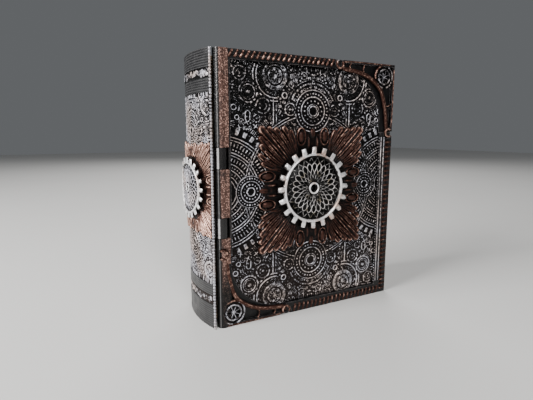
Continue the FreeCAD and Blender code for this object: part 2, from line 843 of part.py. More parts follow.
def keeper_heights():
    """The underside of each keeper, just above its prong at rest."""
    above = " + arm_thick + prong_length + keeper_rise"
    return ["lower_arm_z" + above, "upper_arm_z" + above]


def keeper_fasteners(z):
    """Two screws that hold one keeper, let into the board from the front."""
    screws = []
    for side in ("-", "+"):
        x = "prong_x %s keeper_screw_inset" % side
        middle = z + " + keeper_thick / 2"
        head = disc(x, middle, "board_face", "board_face + keeper_screw_head", "keeper_screw_head_r")
        shank = disc(
            x, middle, "board_face + keeper_screw_head", "cover_back + keeper_screw_bite", "keeper_screw_r"
        )
        screws.append(fuse(head, shank))
    return screws


def keepers():
    """Two tabs on the inside of the cover, each with a hole for a prong."""
    all_screws = []
    for z, name in zip(keeper_heights(), ("keeper_lower", "keeper_upper")):
        tab = box(
            "prong_x - keeper_half", "prong_x + keeper_half", "cover_back", "keeper_tip",
            z, z + " + keeper_thick",
        )
        hole = post("prong_x", "prong_y", z + " - overrun", z + " + keeper_thick + overrun", "keeper_hole_r")
        screws = keeper_fasteners(z)
        keep(cut(tab, hole, *screws), name)
        all_screws.extend(screws)
    group = doc.addObject("Part::Compound", "KeeperScrews")
    group.Links = all_screws
    keep(group, "keeper_screws")


# ---------------------------------------------------------------- build and write

front_corners = front_cover()
medallion()
hinge(front_corners)
back_cover()
spine()
page_block()
lock_plate()
for ring in range(1, RING_COUNT + 1):
    code_ring(ring)
spindle()
end_caps()
lock_bar()
latch_arm("lower_arm_z", "latch_arm_lower")
latch_arm("upper_arm_z", "latch_arm_upper")
thumb_slider()
keepers()

doc.recompute()
for item in doc.Objects:
    if "Invalid" in item.State or "Error" in item.State:
        raise ValueError("%s (%s) failed: %s" % (item.Name, item.Label, item.State))
for item in nodes:
    if item.Shape.isNull() or not item.Shape.isValid():
        raise ValueError(item.Label + " has no valid shape")

whole = FreeCAD.BoundBox()
os.makedirs("parts", exist_ok=True)
for item in nodes:
    whole.add(item.Shape.BoundBox)
    item.Shape.exportStep("parts/%s.step" % item.Label)
print("nodes", len(nodes), "box", [round(v, 3) for v in (
    whole.XMin, whole.XMax, whole.YMin, whole.YMax, whole.ZMin, whole.ZMax)])
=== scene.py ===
import json
import math

import bmesh
import bpy
import numpy as np
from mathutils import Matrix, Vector


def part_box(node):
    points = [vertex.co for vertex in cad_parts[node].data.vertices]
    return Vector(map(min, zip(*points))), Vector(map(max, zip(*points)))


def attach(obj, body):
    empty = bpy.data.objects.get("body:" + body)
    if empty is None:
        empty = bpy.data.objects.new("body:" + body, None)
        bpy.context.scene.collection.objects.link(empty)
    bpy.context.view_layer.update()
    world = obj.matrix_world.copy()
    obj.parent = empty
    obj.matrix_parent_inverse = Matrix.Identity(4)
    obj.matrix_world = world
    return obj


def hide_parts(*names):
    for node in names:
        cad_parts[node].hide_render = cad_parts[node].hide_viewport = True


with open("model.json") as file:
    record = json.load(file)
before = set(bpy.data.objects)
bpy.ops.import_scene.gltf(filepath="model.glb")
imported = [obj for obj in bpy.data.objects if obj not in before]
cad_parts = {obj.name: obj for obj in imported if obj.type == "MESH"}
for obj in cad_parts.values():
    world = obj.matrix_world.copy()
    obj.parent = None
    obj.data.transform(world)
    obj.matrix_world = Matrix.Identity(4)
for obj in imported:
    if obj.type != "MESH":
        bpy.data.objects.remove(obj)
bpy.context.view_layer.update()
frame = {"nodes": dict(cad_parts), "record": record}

# A book-shaped cryptex. All ornament is modelled in plate coordinates, in millimetres: u runs
# across the plate, v up, and w outward from it. A placement function turns (u, v, w) into the
# frame's coordinates for the front cover, the back cover or the curved spine. The ornament's
# vertices also carry "rub", from 0 in a recess to about 1 on a high point, which the silver and
# copper paints read.

MM = 0.001
TURN = 2 * math.pi


def box_mm(node):
    """A CAD node's lowest and highest corner in millimetres."""
    low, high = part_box(node)
    return np.array(low) / MM, np.array(high) / MM


GEAR_LOW, GEAR_HIGH = box_mm("ring_gear")
SPINE_GEAR_LOW, SPINE_GEAR_HIGH = box_mm("spine_gear")
PANEL_LOW, PANEL_HIGH = box_mm("cover_relief")
COVER_LOW, COVER_HIGH = box_mm("cover_board")
MEDAL = (GEAR_LOW + GEAR_HIGH) / 2
FRONT_PLANE = box_mm("rope_rim_top")[0][1]
BACK_PLANE = box_mm("back_rope_rim_top")[1][1]
HINGE_LEFT = box_mm("cover_knuckle_top")[0][0] * MM
BAND_HEIGHTS = (7.5, 7.0)                       # of the lower and upper rough silver bands
SPINE_R = 84.4                                  # radius of the spine's shell
SPINE_AXIS_X = box_mm("spine_shell")[0][0] + SPINE_R
SPINE_MID_Y = (SPINE_GEAR_LOW[1] + SPINE_GEAR_HIGH[1]) / 2
SPINE_MEDAL_V = (SPINE_GEAR_LOW[2] + SPINE_GEAR_HIGH[2]) / 2
SPINE_SCALE = (SPINE_GEAR_HIGH[2] - SPINE_GEAR_LOW[2]) / (GEAR_HIGH[2] - GEAR_LOW[2])


# ---------------------------------------------------------------- placements


def on_front(points):
    """u and v are the frame's x and z, w is outward from the front face."""
    u, v, w = points.T
    return np.stack([u, FRONT_PLANE - w, v], axis=1) * MM


def on_back(points):
    """u and v are the frame's x and z, w is outward from the back face."""
    u, v, w = points.T
    return np.stack([u, BACK_PLANE + w, v], axis=1) * MM


def on_spine(points):
    """u is the length along the spine's arc from its crest, w is outward from its shell."""
    u, v, w = points.T
    angle = u / SPINE_R
    radius = SPINE_R + w
    x = SPINE_AXIS_X - radius * np.cos(angle)
    y = SPINE_MID_Y + radius * np.sin(angle)
    return np.stack([x, y, v], axis=1) * MM


def arc_to(y, radius):
    """How far along the spine's arc the cylinder of some radius reaches the frame's y."""
    return SPINE_R * math.asin((y - SPINE_MID_Y) / radius)


# ---------------------------------------------------------------- meshes


class Piece:
    """Collects vertices, faces and rub values in plate coordinates, and makes an object of them."""

    def __init__(self):
        self.points = []
        self.rubs = []
        self.faces = []
        self.count = 0

    def add(self, points, faces, rubs):
        self.points.append(np.asarray(points, float))
        self.rubs.append(np.asarray(rubs, float))
        self.faces.extend([tuple(i + self.count for i in face) for face in faces])
        self.count += len(points)
        return self

    def build(self, name, place, paint, body, replaces=(), scale=1.0, centre=(0, 0, 0)):
        points = np.concatenate(self.points) * scale + np.array(centre, float)
        mesh = bpy.data.meshes.new(name)
        mesh.from_pydata(place(points).tolist(), [], self.faces)
        work = bmesh.new()
        work.from_mesh(mesh)
        bmesh.ops.recalc_face_normals(work, faces=work.faces)
        work.to_mesh(mesh)
        work.free()
        store_rub(mesh, np.concatenate(self.rubs))
        mesh.shade_smooth()
        return new_object(name, mesh, paint, body, replaces)


def store_rub(mesh, rubs):
    mesh.attributes.new("rub", "FLOAT", "POINT").data.foreach_set("value", rubs.astype(np.float32))


def new_object(name, mesh, paint, body, replaces=()):
    item = bpy.data.objects.new(name, mesh)
    bpy.context.scene.collection.objects.link(item)
    item.data.materials.append(paint)
    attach(item, body)
    if replaces:
        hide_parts(*replaces)
    return item


def polar(angle, radius=1.0):
    return radius * math.cos(angle), radius * math.sin(angle)


def join_rings(rings, size, closed):
    """Quads between neighbouring rings of vertices. A closed row joins its last ring to its first."""
    faces = []
    for i in range(rings if closed else rings - 1):
        j = (i + 1) % rings
        for k in range(size):
            n = (k + 1) % size
            faces.append((i * size + k, i * size + n, j * size + n, j * size + k))
    return faces


def sweep(piece, path, half_width, half_height, sides=8, closed=False, low=0.0, high=1.0):
    """A rounded bar along a path of (u, v, w) points. Its section is an ellipse."""
    path = np.asarray(path, float)
    count = len(path)
    ahead = np.roll(path, -1, axis=0) - np.roll(path, 1, axis=0)
    if not closed:
        ahead[0] = path[1] - path[0]
        ahead[-1] = path[-1] - path[-2]
    ahead[:, 2] = 0
    ahead /= np.linalg.norm(ahead, axis=1)[:, None]
    across = np.stack([ahead[:, 1], -ahead[:, 0], np.zeros(count)], axis=1)
    half_width = np.broadcast_to(half_width, count)[:, None, None]
    half_height = np.broadcast_to(half_height, count)[:, None, None]
    angles = np.arange(sides) * TURN / sides + TURN / (2 * sides)
    sideways = across[:, None, :] * (np.cos(angles)[None, :, None] * half_width)
    upward = np.array([0, 0, 1]) * (np.sin(angles)[None, :, None] * half_height)
    points = path[:, None, :] + sideways + upward
    tops = np.broadcast_to(high, count)[:, None]
    rubs = (low + (tops - low) * np.clip(0.5 + 0.6 * np.sin(angles), 0, 1)[None, :]).ravel()
    faces = join_rings(count, sides, closed)
    if not closed:
        faces.append(tuple(range(sides)))
        faces.append(tuple(reversed(range((count - 1) * sides, count * sides))))
    piece.add(points.reshape(-1, 3), faces, rubs)


def arc(cx, cy, radius, start, end, count, w):
    """Points along an arc. Angles are in degrees."""
    angles = np.radians(np.linspace(start, end, count))
    return np.stack(
        [cx + radius * np.cos(angles), cy + radius * np.sin(angles), np.full(count, w)], axis=1
    )


def hoop(piece, cx, cy, radius, w, half_width, half_height, sides, steps, high):
    """A closed round ring."""
    path = arc(cx, cy, radius, 0, 360 * (1 - 1 / steps), steps, w)
    sweep(piece, path, half_width, half_height, sides, closed=True, high=high)


def smooth_path(points, steps=16):
    """A Catmull-Rom curve through a few (u, v, w) points."""
    points = np.asarray(points, float)
    ends = np.vstack([2 * points[0] - points[1], points, 2 * points[-1] - points[-2]])
    t = np.linspace(0, 1, steps, endpoint=False)[:, None]
    out = []
    for a, b, c, d in zip(ends, ends[1:], ends[2:], ends[3:]):
        out.append(0.5 * (2 * b + (c - a) * t + (2 * a - 5 * b + 4 * c - d) * t**2
                          + (3 * b - a - 3 * c + d) * t**3))
    return np.vstack(out + [points[-1:]])


def lathe(piece, cx, cy, profile, steps=48):
    """Turn a closed outline of (radius, w, rub) points round an axis through (cx, cy)."""
    angles = np.arange(steps) * TURN / steps
    radii, heights, rubs = np.asarray(profile, float).T
    u = cx + np.outer(np.cos(angles), radii)
    v = cy + np.outer(np.sin(angles), radii)
    w = np.tile(heights, (steps, 1))
    points = np.stack([u, v, w], axis=2).reshape(-1, 3)
    piece.add(points, join_rings(steps, len(radii), True), np.tile(rubs, steps))


def bump_button(piece, cx, cy, radius, low, high, steps=14, rings=4):
    """A rounded bead standing on the plate."""
    profile = [(radius, low - 0.3)]
    for i in range(rings):
        angle = math.pi / 2 * i / rings
        profile.append((radius * math.cos(angle), low + (high - low) * math.sin(angle)))
    angles = np.arange(steps) * TURN / steps
    points = [
        (cx + r * math.cos(a), cy + r * math.sin(a), w) for r, w in profile for a in angles
    ]
    points.append((cx, cy, high))
    rubs = [0.0] * steps
    for i in range(rings):
        rubs += [0.3 + 0.7 * i / rings] * steps
    rubs.append(1.0)
    faces = join_rings(len(profile), steps, False)
    top = (len(profile) - 1) * steps
    faces += [(top + k, top + (k + 1) % steps, len(points) - 1) for k in range(steps)]
    faces.append(tuple(reversed(range(steps))))
    piece.add(points, faces, rubs)


# ---------------------------------------------------------------- relief maps

SIDE_SLOPE = 0.35          # width of the sloping side of a tooth or block


class Relief:
    """A map of heights over a rectangle of the plate, on which raised shapes are drawn."""

    def __init__(self, left, right, low, high, step, hidden_half=0.0):
        self.hidden_half = hidden_half          # half the side of a square that another plate hides
        self.u_axis = np.linspace(left, right, int(round((right - left) / step)) + 1)
        self.v_axis = np.linspace(low, high, int(round((high - low) / step)) + 1)
        self.height = np.zeros((len(self.v_axis), len(self.u_axis)))

    def window(self, u0, u1, v0, v1):
        """The part of the map that a shape reaches, with its coordinates."""
        columns = slice(*np.searchsorted(self.u_axis, [u0, u1]))
        rows = slice(*np.searchsorted(self.v_axis, [v0, v1]))
        u, v = np.meshgrid(self.u_axis[columns], self.v_axis[rows])
        return (rows, columns), u, v

    def around(self, cx, cy, reach):
        """The part of the map near a point, with the distances from it along u and v."""
        where, u, v = self.window(cx - reach, cx + reach, cy - reach, cy + reach)
        return where, u - cx, v - cy

    def crowded(self, cx, cy, radius):
        """Whether a circle is hidden or holds raised shapes already."""
        if max(abs(cx), abs(cy)) < self.hidden_half:
            return True
        where, du, dv = self.around(cx, cy, radius)
        inside = np.hypot(du, dv) < radius
        return bool(inside.sum() == 0 or self.height[where][inside].max() > 0.05)

    def raise_to(self, where, heights):
        self.height[where] = np.maximum(self.height[where], heights)

    def raise_ridge(self, where, off, half, height, floor):
        """A round top over the places less than `half` from a line. `off` is their distance."""
        heights = floor + height * ridge(off, half)
        heights[off > half] = 0
        self.raise_to(where, heights)

    def ring(self, cx, cy, radius, width, height, start=None, end=None, floor=0.0):
        """A round ridge, whole or between two angles in degrees."""
        where, du, dv = self.around(cx, cy, radius + width)
        off = np.abs(np.hypot(du, dv) - radius)
        if start is not None:
            off[~between(du, dv, start, end)] = width
        self.raise_ridge(where, off, width / 2, height, floor)

    def disc(self, cx, cy, radius, height):
        where, du, dv = self.around(cx, cy, radius)
        self.raise_to(where, height * np.clip((radius - np.hypot(du, dv)) / 0.5, 0, 1))

    def dome(self, cx, cy, radius, height, floor=0.0):
        where, du, dv = self.around(cx, cy, radius)
        self.raise_ridge(where, np.hypot(du, dv), radius, height, floor)

    def clear(self, cx, cy, radius):
        """Cut away everything inside a circle."""
        where, du, dv = self.around(cx, cy, radius)
        self.height[where][np.hypot(du, dv) < radius] = 0

    def beads(self, cx, cy, radius, count, size, height, start=0, end=360, floor=0.0):
        for angle in np.radians(np.linspace(start, end, count, endpoint=end - start < 360)):
            c, s = polar(angle, radius)
            self.dome(cx + c, cy + s, size, height, floor)

    def teeth(self, cx, cy, inner, outer, count, duty, height):
        """Square teeth round a circle, with sloping sides."""
        where, du, dv = self.around(cx, cy, outer)
        off = np.hypot(du, dv)
        phase = np.arctan2(dv, du) * count / TURN
        swing = np.abs(phase - np.round(phase))
        side = (duty / 2 - swing) * TURN * np.maximum(off, 0.1) / count
        end_slope = np.minimum(off - inner, outer - off)
        self.raise_to(where, height * np.clip(np.minimum(side, end_slope) / SIDE_SLOPE, 0, 1))

    def bar(self, u0, v0, u1, v1, width, height, floor=0.0):
        """A straight ridge with round ends."""
        where, u, v = self.window(
            min(u0, u1) - width, max(u0, u1) + width, min(v0, v1) - width, max(v0, v1) + width
        )
        length = math.hypot(u1 - u0, v1 - v0)
        along = ((u - u0) * (u1 - u0) + (v - v0) * (v1 - v0)) / length
        along = np.clip(along, 0, length)
        off = np.hypot(u - u0 - along * (u1 - u0) / length, v - v0 - along * (v1 - v0) / length)
        self.raise_ridge(where, off, width / 2, height, floor)

    def turned_bar(self, cx, cy, turn, start, end, width, height, floor=0.0):
        """A bar between two (along, across) points, measured from (cx, cy) in turned axes."""
        c, s = polar(turn)
        (a0, b0), (a1, b1) = start, end
        self.bar(
            cx + a0 * c - b0 * s, cy + a0 * s + b0 * c, cx + a1 * c - b1 * s, cy + a1 * s + b1 * c,
            width, height, floor,
        )

    def block(self, cx, cy, width, tall, turn, height):
        """A flat-topped rectangle, turned by an angle in degrees."""
        where, du, dv = self.around(cx, cy, (width + tall) / 2)
        c, s = polar(math.radians(turn))
        inside = np.minimum(width / 2 - np.abs(du * c + dv * s), tall / 2 - np.abs(dv * c - du * s))
        self.raise_to(where, height * np.clip(inside / SIDE_SLOPE, 0, 1))


def stretched(field):
    """The field's values, moved and scaled to run from 0 to 1."""
    return (field - field.min()) / (field.max() - field.min())


def ridge(off, half):
    """A half-round section: 1 on its middle line and 0 at its half width."""
    return np.sqrt(np.clip(1 - (off / half) ** 2, 0, 1))


def between(u, v, start, end):
    """Whether a direction lies between two angles in degrees, going anticlockwise."""
    angle = np.degrees(np.arctan2(v, u))
    return (angle - start) % 360 <= (end - start) % 360


def blur(field, radius):
    """A box blur, twice, which is close to a smooth one."""
    size = 2 * radius + 1
    for axis in (0, 1) * 2:
        pad = [(0, 0), (0, 0)]
        pad[axis] = (radius + 1, radius)
        total = np.cumsum(np.pad(field, pad, mode="edge"), axis=axis)
        if axis == 0:
            field = (total[size:] - total[:-size]) / size
        else:
            field = (total[:, size:] - total[:, :-size]) / size
    return field


def shown_grid(u, v, w, rub, shown):
    """The points, faces and rub values of the part of a grid that is shown."""
    quad = shown[:-1, :-1] & shown[1:, :-1] & shown[:-1, 1:] & shown[1:, 1:]
    index = np.arange(w.size).reshape(w.shape)
    corners = (index[:-1, :-1], index[:-1, 1:], index[1:, 1:], index[1:, :-1])
    faces = np.stack([corner[quad] for corner in corners], axis=1)
    used, compact = np.unique(faces, return_inverse=True)
    points = np.stack([u.ravel()[used], v.ravel()[used], w.ravel()[used]], axis=1)
    return points, compact.reshape(-1, 4), rub.ravel()[used]


def build_sheet(name, grid, back, place, paint, body, replaces, scale=1.0, centre=(0, 0, 0)):
    """Make a relief object from a grid, with walls down to a flat back at height `back`."""
    points, faces, rubs = grid
    shift = np.array(centre, float)
    mesh = bpy.data.meshes.new(name)
    mesh.from_pydata(place(points * scale + shift).tolist(), [], faces.tolist())
    store_rub(mesh, rubs)
    work = bmesh.new()
    work.from_mesh(mesh)
    rub_layer = work.verts.layers.float["rub"]
    rim = [edge for edge in work.edges if edge.is_boundary]
    rim_verts = sorted({vert.index for edge in rim for vert in edge.verts})
    flat = points[rim_verts].copy()
    flat[:, 2] = back
    lower = {}
    for number, spot in zip(rim_verts, place(flat * scale + shift)):
        lower[number] = work.verts.new(spot)
        lower[number][rub_layer] = 0.0
    walls = []
    for edge in rim:
        first, second = edge.verts
        below = (lower[first.index], lower[second.index])
        work.faces.new((first, second, *reversed(below)))
        walls.append(work.edges.get(below))
    bmesh.ops.triangle_fill(work, edges=walls, use_beauty=False)
    bmesh.ops.recalc_face_normals(work, faces=work.faces)
    work.to_mesh(mesh)
    work.free()
    mesh.shade_smooth()
    return new_object(name, mesh, paint, body, replaces)


# ---------------------------------------------------------------- materials

WAVES_PER_TURN = 20        # a wave texture of scale 1 has this many lines in 2 pi metres
# Heights and places in metres between which the paint changes over the whole book.
FOOT_TOP, FOOT_LOW = 0.085, 0.02                # no browning or lightening above the first, full below the second
DARK_LOW, DARK_TOP = 0.024, 0.058               # the hinge's copper is dark below, light above
EDGE_END, COPPER_START = HINGE_LEFT + 0.0022, HINGE_LEFT + 0.0034
HIGHLIGHT_STRIPE_X = HINGE_LEFT + 0.0014                # middle of the painted highlight stripe on the hinge's grey edge


class Paint:
    """Builds one node material a step at a time."""

    def __init__(self, name):
        self.material = bpy.data.materials.new(name)
        self.material.use_nodes = True
        self.tree = self.material.node_tree
        self.shader = self.tree.nodes["Principled BSDF"]
        self.place = self.node("ShaderNodeTexCoord").outputs["Object"]

    def node(self, kind, values=(), source=None, into="Vector", **settings):
        """Add a node, with its own settings, its inputs' values and one linked input."""
        item = self.tree.nodes.new(kind)
        for key, value in settings.items():
            setattr(item, key, value)
        for key, value in dict(values).items():
            item.inputs[key].default_value = value
        if source is not None:
            self.tree.links.new(source, item.inputs[into])
        return item

    def feed(self, socket, value):
        """Give a socket a number, a colour or another node's output."""
        if isinstance(value, tuple):
            socket.default_value = (*value, 1.0)
        elif isinstance(value, (int, float)):
            socket.default_value = value
        else:
            self.tree.links.new(value, socket)

    def noise(self, scale, detail, roughness=0.5, place=None):
        """Noise whose features are about 1 / scale metres across."""
        values = {"Scale": scale, "Detail": detail, "Roughness": roughness}
        return self.node("ShaderNodeTexNoise", values, place or self.place).outputs["Fac"]

    def cells(self, scale):
        """Distance from the middle of the nearest of many small cells."""
        item = self.node("ShaderNodeTexVoronoi", {"Scale": scale}, self.place, feature="F1")
        return item.outputs["Distance"]

    def layers(self, pitch):
        """Fine level lines, like the layers of a print. The pitch is in millimetres."""
        values = {"Scale": TURN / WAVES_PER_TURN / (pitch * MM), "Distortion": 0.6, "Detail": 1.0}
        item = self.node(
            "ShaderNodeTexWave", values, self.place, wave_type="BANDS", bands_direction="Z"
        )
        return item.outputs["Fac"]

    def edges(self, width):
        """How far a bevelled normal leans from the true one: 0 on a face, up to 1 on an edge."""
        soft = self.node("ShaderNodeBevel", {"Radius": width}, samples=4)
        true = self.node("ShaderNodeNewGeometry").outputs["Normal"]
        dot = self.node("ShaderNodeVectorMath", operation="DOT_PRODUCT")
        self.feed(dot.inputs[0], soft.outputs["Normal"])
        self.feed(dot.inputs[1], true)
        return self.ramp(dot.outputs["Value"], 0.995, 0.80)

    def ramp(self, source, low, high, to_low=0.0, to_high=1.0):
        """Stretch the part of a value between `low` and `high` over another range, smoothly."""
        values = {"From Min": low, "From Max": high, "To Min": to_low, "To Max": to_high}
        item = self.node(
            "ShaderNodeMapRange", values, source, "Value", interpolation_type="SMOOTHSTEP"
        )
        return item.outputs["Result"]

    def cloud(self, scale, detail, low=0.3, high=0.7, to_low=0.0, to_high=1.0, roughness=0.5):
        """Noise whose middle range is stretched over the range that is wanted."""
        return self.ramp(self.noise(scale, detail, roughness), low, high, to_low, to_high)

    def uneven_rub(self, scale, detail, low, high, roughness=0.5):
        """The rub values, made uneven by noise."""
        rub = self.node("ShaderNodeAttribute", attribute_name="rub").outputs["Fac"]
        uneven = self.cloud(scale, detail, to_low=low, to_high=high, roughness=roughness)
        return self.math("ADD", rub, uneven)

    def math(self, operation, first, second=0.0):
        """Each term is a number or another node's output."""
        item = self.node("ShaderNodeMath", operation=operation)
        self.feed(item.inputs[0], first)
        self.feed(item.inputs[1], second)
        return item.outputs["Value"]

    def mix(self, factor, first, second):
        """Mix two colours. Each is a colour or another node's output."""
        item = self.node("ShaderNodeMix", (), factor, "Factor", data_type="RGBA")
        self.feed(item.inputs[6], first)
        self.feed(item.inputs[7], second)
        return item.outputs[2]

    def along(self, axis):
        """The place's coordinate on one axis, in metres."""
        return self.node("ShaderNodeSeparateXYZ", (), self.place).outputs[axis]

    def hinge_line(self, half):
        """1 on a narrow upright stripe near the hinge's outer edge, where a highlight is painted, fading
        to 0 beside it.
        """
        off = self.math("ABSOLUTE", self.math("SUBTRACT", self.along("X"), HIGHLIGHT_STRIPE_X))
        return self.ramp(off, half * 1.5, half * 0.5)

    def surface(self, colour, rough, metallic=0.0, specular=0.5):
        """Set the shader's inputs. `rough` is noise as (scale, low, high), or with a detail added."""
        scale, low, high, detail = (*rough, 3)[:4]
        self.feed(self.shader.inputs["Base Color"], colour)
        self.feed(self.shader.inputs["Metallic"], metallic)
        self.feed(self.shader.inputs["Roughness"], self.cloud(scale, detail, to_low=low, to_high=high))
        self.feed(self.shader.inputs["Specular IOR Level"], specular)

    def bump(self, *heights):
        """Add bumps, each as (source, depth in metres), and return the finished material."""
        normal = None
        for source, depth in heights:
            values = {"Distance": depth, "Strength": 1.0}
            item = self.node("ShaderNodeBump", values, source, "Height")
            if normal is not None:
                self.feed(item.inputs["Normal"], normal)
            normal = item.outputs["Normal"]
        self.feed(self.shader.inputs["Normal"], normal)
        return self.material


def black_print():
    """Black plastic, sanded and sealed, with grey dust rubbed on its edges."""
    paint = Paint("black print")
    worn = paint.math("MULTIPLY", paint.edges(0.0007), paint.cloud(300, 4, 0.35, 0.6))
    black = paint.mix(
        paint.cloud(60, 5, 0.35, 0.7), (0.0016, 0.0015, 0.0017), (0.0075, 0.007, 0.0075)
    )
    paint.surface(paint.mix(worn, black, (0.17, 0.15, 0.15)), (120, 0.30, 0.46), specular=0.3)
    return paint.bump((paint.layers(0.25), 0.00002), (paint.noise(900, 4), 0.00008))


def silver_rubbed_black():
    """Black relief with silver dry-brush paint on its high points, browner and a little lighter towards
    the foot.
    """
    paint = Paint("silver rubbed black")
    spread = paint.uneven_rub(420, 5, -0.26, 0.22, 0.65)
    spread = paint.math("ADD", spread, paint.cloud(28, 2, to_low=-0.12, to_high=0.10))
    foot = paint.ramp(paint.along("Z"), FOOT_TOP, FOOT_LOW)
    spread = paint.math("ADD", spread, paint.math("MULTIPLY", foot, 0.06))
    tone = paint.mix(paint.cloud(45, 3, 0.4, 0.65), (0.60, 0.59, 0.64), (0.62, 0.52, 0.48))
    ground = paint.mix(foot, (0.0012, 0.0010, 0.0011), (0.016, 0.011, 0.0095))
    colour = paint.mix(paint.ramp(spread, 0.40, 0.95), ground, tone)
    paint.surface(colour, (500, 0.34, 0.50), paint.ramp(spread, 0.42, 0.92, 0.0, 0.6), 0.12)
    return paint.bump((paint.noise(1400, 4), 0.00006))


def bright_silver():
    """Thick bright silver paint, with brown showing through in its recesses."""
    paint = Paint("bright silver")
    spread = paint.uneven_rub(350, 4, -0.2, 0.2)
    tone = paint.mix(paint.cloud(90, 3, 0.5, 0.72), (0.90, 0.88, 0.88), (0.66, 0.48, 0.40))
    colour = paint.mix(paint.ramp(spread, 0.22, 0.75), (0.012, 0.008, 0.007), tone)
    paint.surface(colour, (600, 0.26, 0.42), paint.ramp(spread, 0.2, 0.6, 0.0, 0.55))
    return paint.bump((paint.noise(1100, 4), 0.00007))


def dark_copper():
    """Brown copper paint, nearly black in its folds and light on its tips."""
    paint = Paint("dark copper")
    spread = paint.uneven_rub(380, 5, -0.22, 0.18, 0.6)
    brown = paint.mix(
        paint.ramp(spread, 0.12, 0.80), (0.0022, 0.0014, 0.0013), (0.062, 0.027, 0.020)
    )
    colour = paint.mix(paint.ramp(spread, 0.84, 1.20), brown, (0.60, 0.37, 0.29))
    paint.surface(colour, (500, 0.30, 0.46), paint.ramp(spread, 0.2, 0.8, 0.05, 0.6), 0.15)
    return paint.bump((paint.noise(1200, 4), 0.00007))


def gloss_black():
    """Glossy black plastic, with a painted highlight stripe up the hinge's outer edge."""
    paint = Paint("gloss black")
    black = paint.mix(paint.cloud(150, 4), (0.002, 0.002, 0.002), (0.008, 0.007, 0.007))
    # painted highlight: a pale stripe up the knuckle's outer edge
    shine = paint.math("MULTIPLY", paint.hinge_line(0.0005), paint.cloud(220, 3, 0.2, 0.5))
    paint.surface(paint.mix(shine, black, (0.50, 0.49, 0.49)), (200, 0.14, 0.26))
    return paint.bump((paint.layers(0.25), 0.00001), (paint.noise(900, 3), 0.00003))


def banded_print():
    """Dark grey plastic whose printed layers show as fine lines."""
    paint = Paint("banded print")
    lines = paint.ramp(paint.layers(1.7), 0.2, 0.8)
    grey = paint.mix(lines, (0.004, 0.004, 0.0045), (0.036, 0.035, 0.036))
    colour = paint.mix(paint.cloud(70, 4, 0.45, 0.8), grey, (0.014, 0.0135, 0.014))
    paint.surface(colour, (160, 0.34, 0.5))
    return paint.bump((lines, 0.00006), (paint.noise(900, 3), 0.00005))


def hammered_copper():
    """Brown copper with a pebbled surface, light on each pebble, and nearly black on the hinge's outer
    edge with a painted highlight stripe.
    """
    paint = Paint("hammered copper")
    pebbles = paint.cells(900)
    patch = paint.cloud(110, 4, 0.22, 0.55)
    light = paint.math("MULTIPLY", paint.ramp(pebbles, 0.55, 0.15), patch)
    base = paint.mix(patch, (0.020, 0.011, 0.009), (0.110, 0.056, 0.043))
    copper = paint.mix(light, base, (0.60, 0.36, 0.29))
    dark = paint.mix(light, (0.004, 0.003, 0.003), (0.060, 0.040, 0.034))
    copper = paint.mix(paint.ramp(paint.along("Z"), DARK_LOW, DARK_TOP), dark, copper)
    # the outer edge is nearly black, with a painted highlight stripe along it
    grey = paint.mix(paint.hinge_line(0.0003), (0.003, 0.003, 0.003), (0.12, 0.115, 0.115))
    inside = paint.ramp(paint.along("X"), EDGE_END, COPPER_START)
    metallic = paint.ramp(patch, 0.0, 1.0, 0.2, 0.5)
    paint.surface(paint.mix(inside, grey, copper), (500, 0.34, 0.5), metallic)
    return paint.bump((pebbles, -0.00025), (paint.noise(1500, 3), 0.00006))


def dark_rosette():
    """Black openwork with silver and a little olive on its wires."""
    paint = Paint("dark rosette")
    spread = paint.uneven_rub(420, 4, -0.25, 0.2)
    tone = paint.mix(paint.cloud(160, 2, 0.52, 0.66), (0.62, 0.59, 0.58), (0.34, 0.29, 0.21))
    colour = paint.mix(paint.ramp(spread, 0.45, 0.95), (0.0012, 0.001, 0.001), tone)
    paint.surface(colour, (500, 0.30, 0.46), paint.ramp(spread, 0.45, 0.95, 0.0, 0.6), 0.25)
    return paint.bump((paint.noise(1400, 4), 0.00005))


def page_paint():
    """Old paper colour, darkened in streaks along the pages."""
    paint = Paint("page paint")
    stretch = paint.node("ShaderNodeMapping", {"Scale": (40.0, 900.0, 40.0)}, paint.place)
    streak = paint.noise(1.0, 4, place=stretch.outputs["Vector"])
    paper = paint.mix(streak, (0.20, 0.14, 0.08), (0.50, 0.40, 0.26))
    paint.surface(paint.mix(paint.cloud(25, 4), paper, (0.28, 0.19, 0.11)), (300, 0.6, 0.8))
    return paint.bump((streak, 0.00025), (paint.noise(900, 3), 0.00005))


def dark_bronze():
    """Bronze paint, worn light where fingers turn the rings."""
    paint = Paint("dark bronze")
    worn = paint.math("MULTIPLY", paint.edges(0.0008), paint.cloud(250, 4, 0.3, 0.6))
    base = paint.mix(paint.cloud(90, 5, 0.35, 0.7), (0.035, 0.02, 0.012), (0.12, 0.068, 0.035))
    metallic = paint.cloud(90, 3, to_low=0.4, to_high=0.7)
    paint.surface(paint.mix(worn, base, (0.62, 0.42, 0.24)), (400, 0.3, 0.48), metallic)
    return paint.bump((paint.noise(1000, 4), 0.00008))


def bare_print():
    """Unpainted dark plastic with visible layers."""
    paint = Paint("bare print")
    colour = paint.mix(paint.cloud(80, 3), (0.035, 0.035, 0.038), (0.06, 0.06, 0.063))
    paint.surface(colour, (300, 0.42, 0.6))
    return paint.bump((paint.layers(0.2), 0.00004))


def steel():
    """Bright zinc-plated steel with fine scratches."""
    paint = Paint("steel")
    colour = paint.mix(paint.noise(700, 4), (0.45, 0.45, 0.46), (0.68, 0.68, 0.70))
    paint.surface(colour, (900, 0.22, 0.4, 4), paint.cloud(200, 2, 0.0, 1.0, 0.95, 1.0))
    return paint.bump((paint.noise(2500, 3), 0.00002))


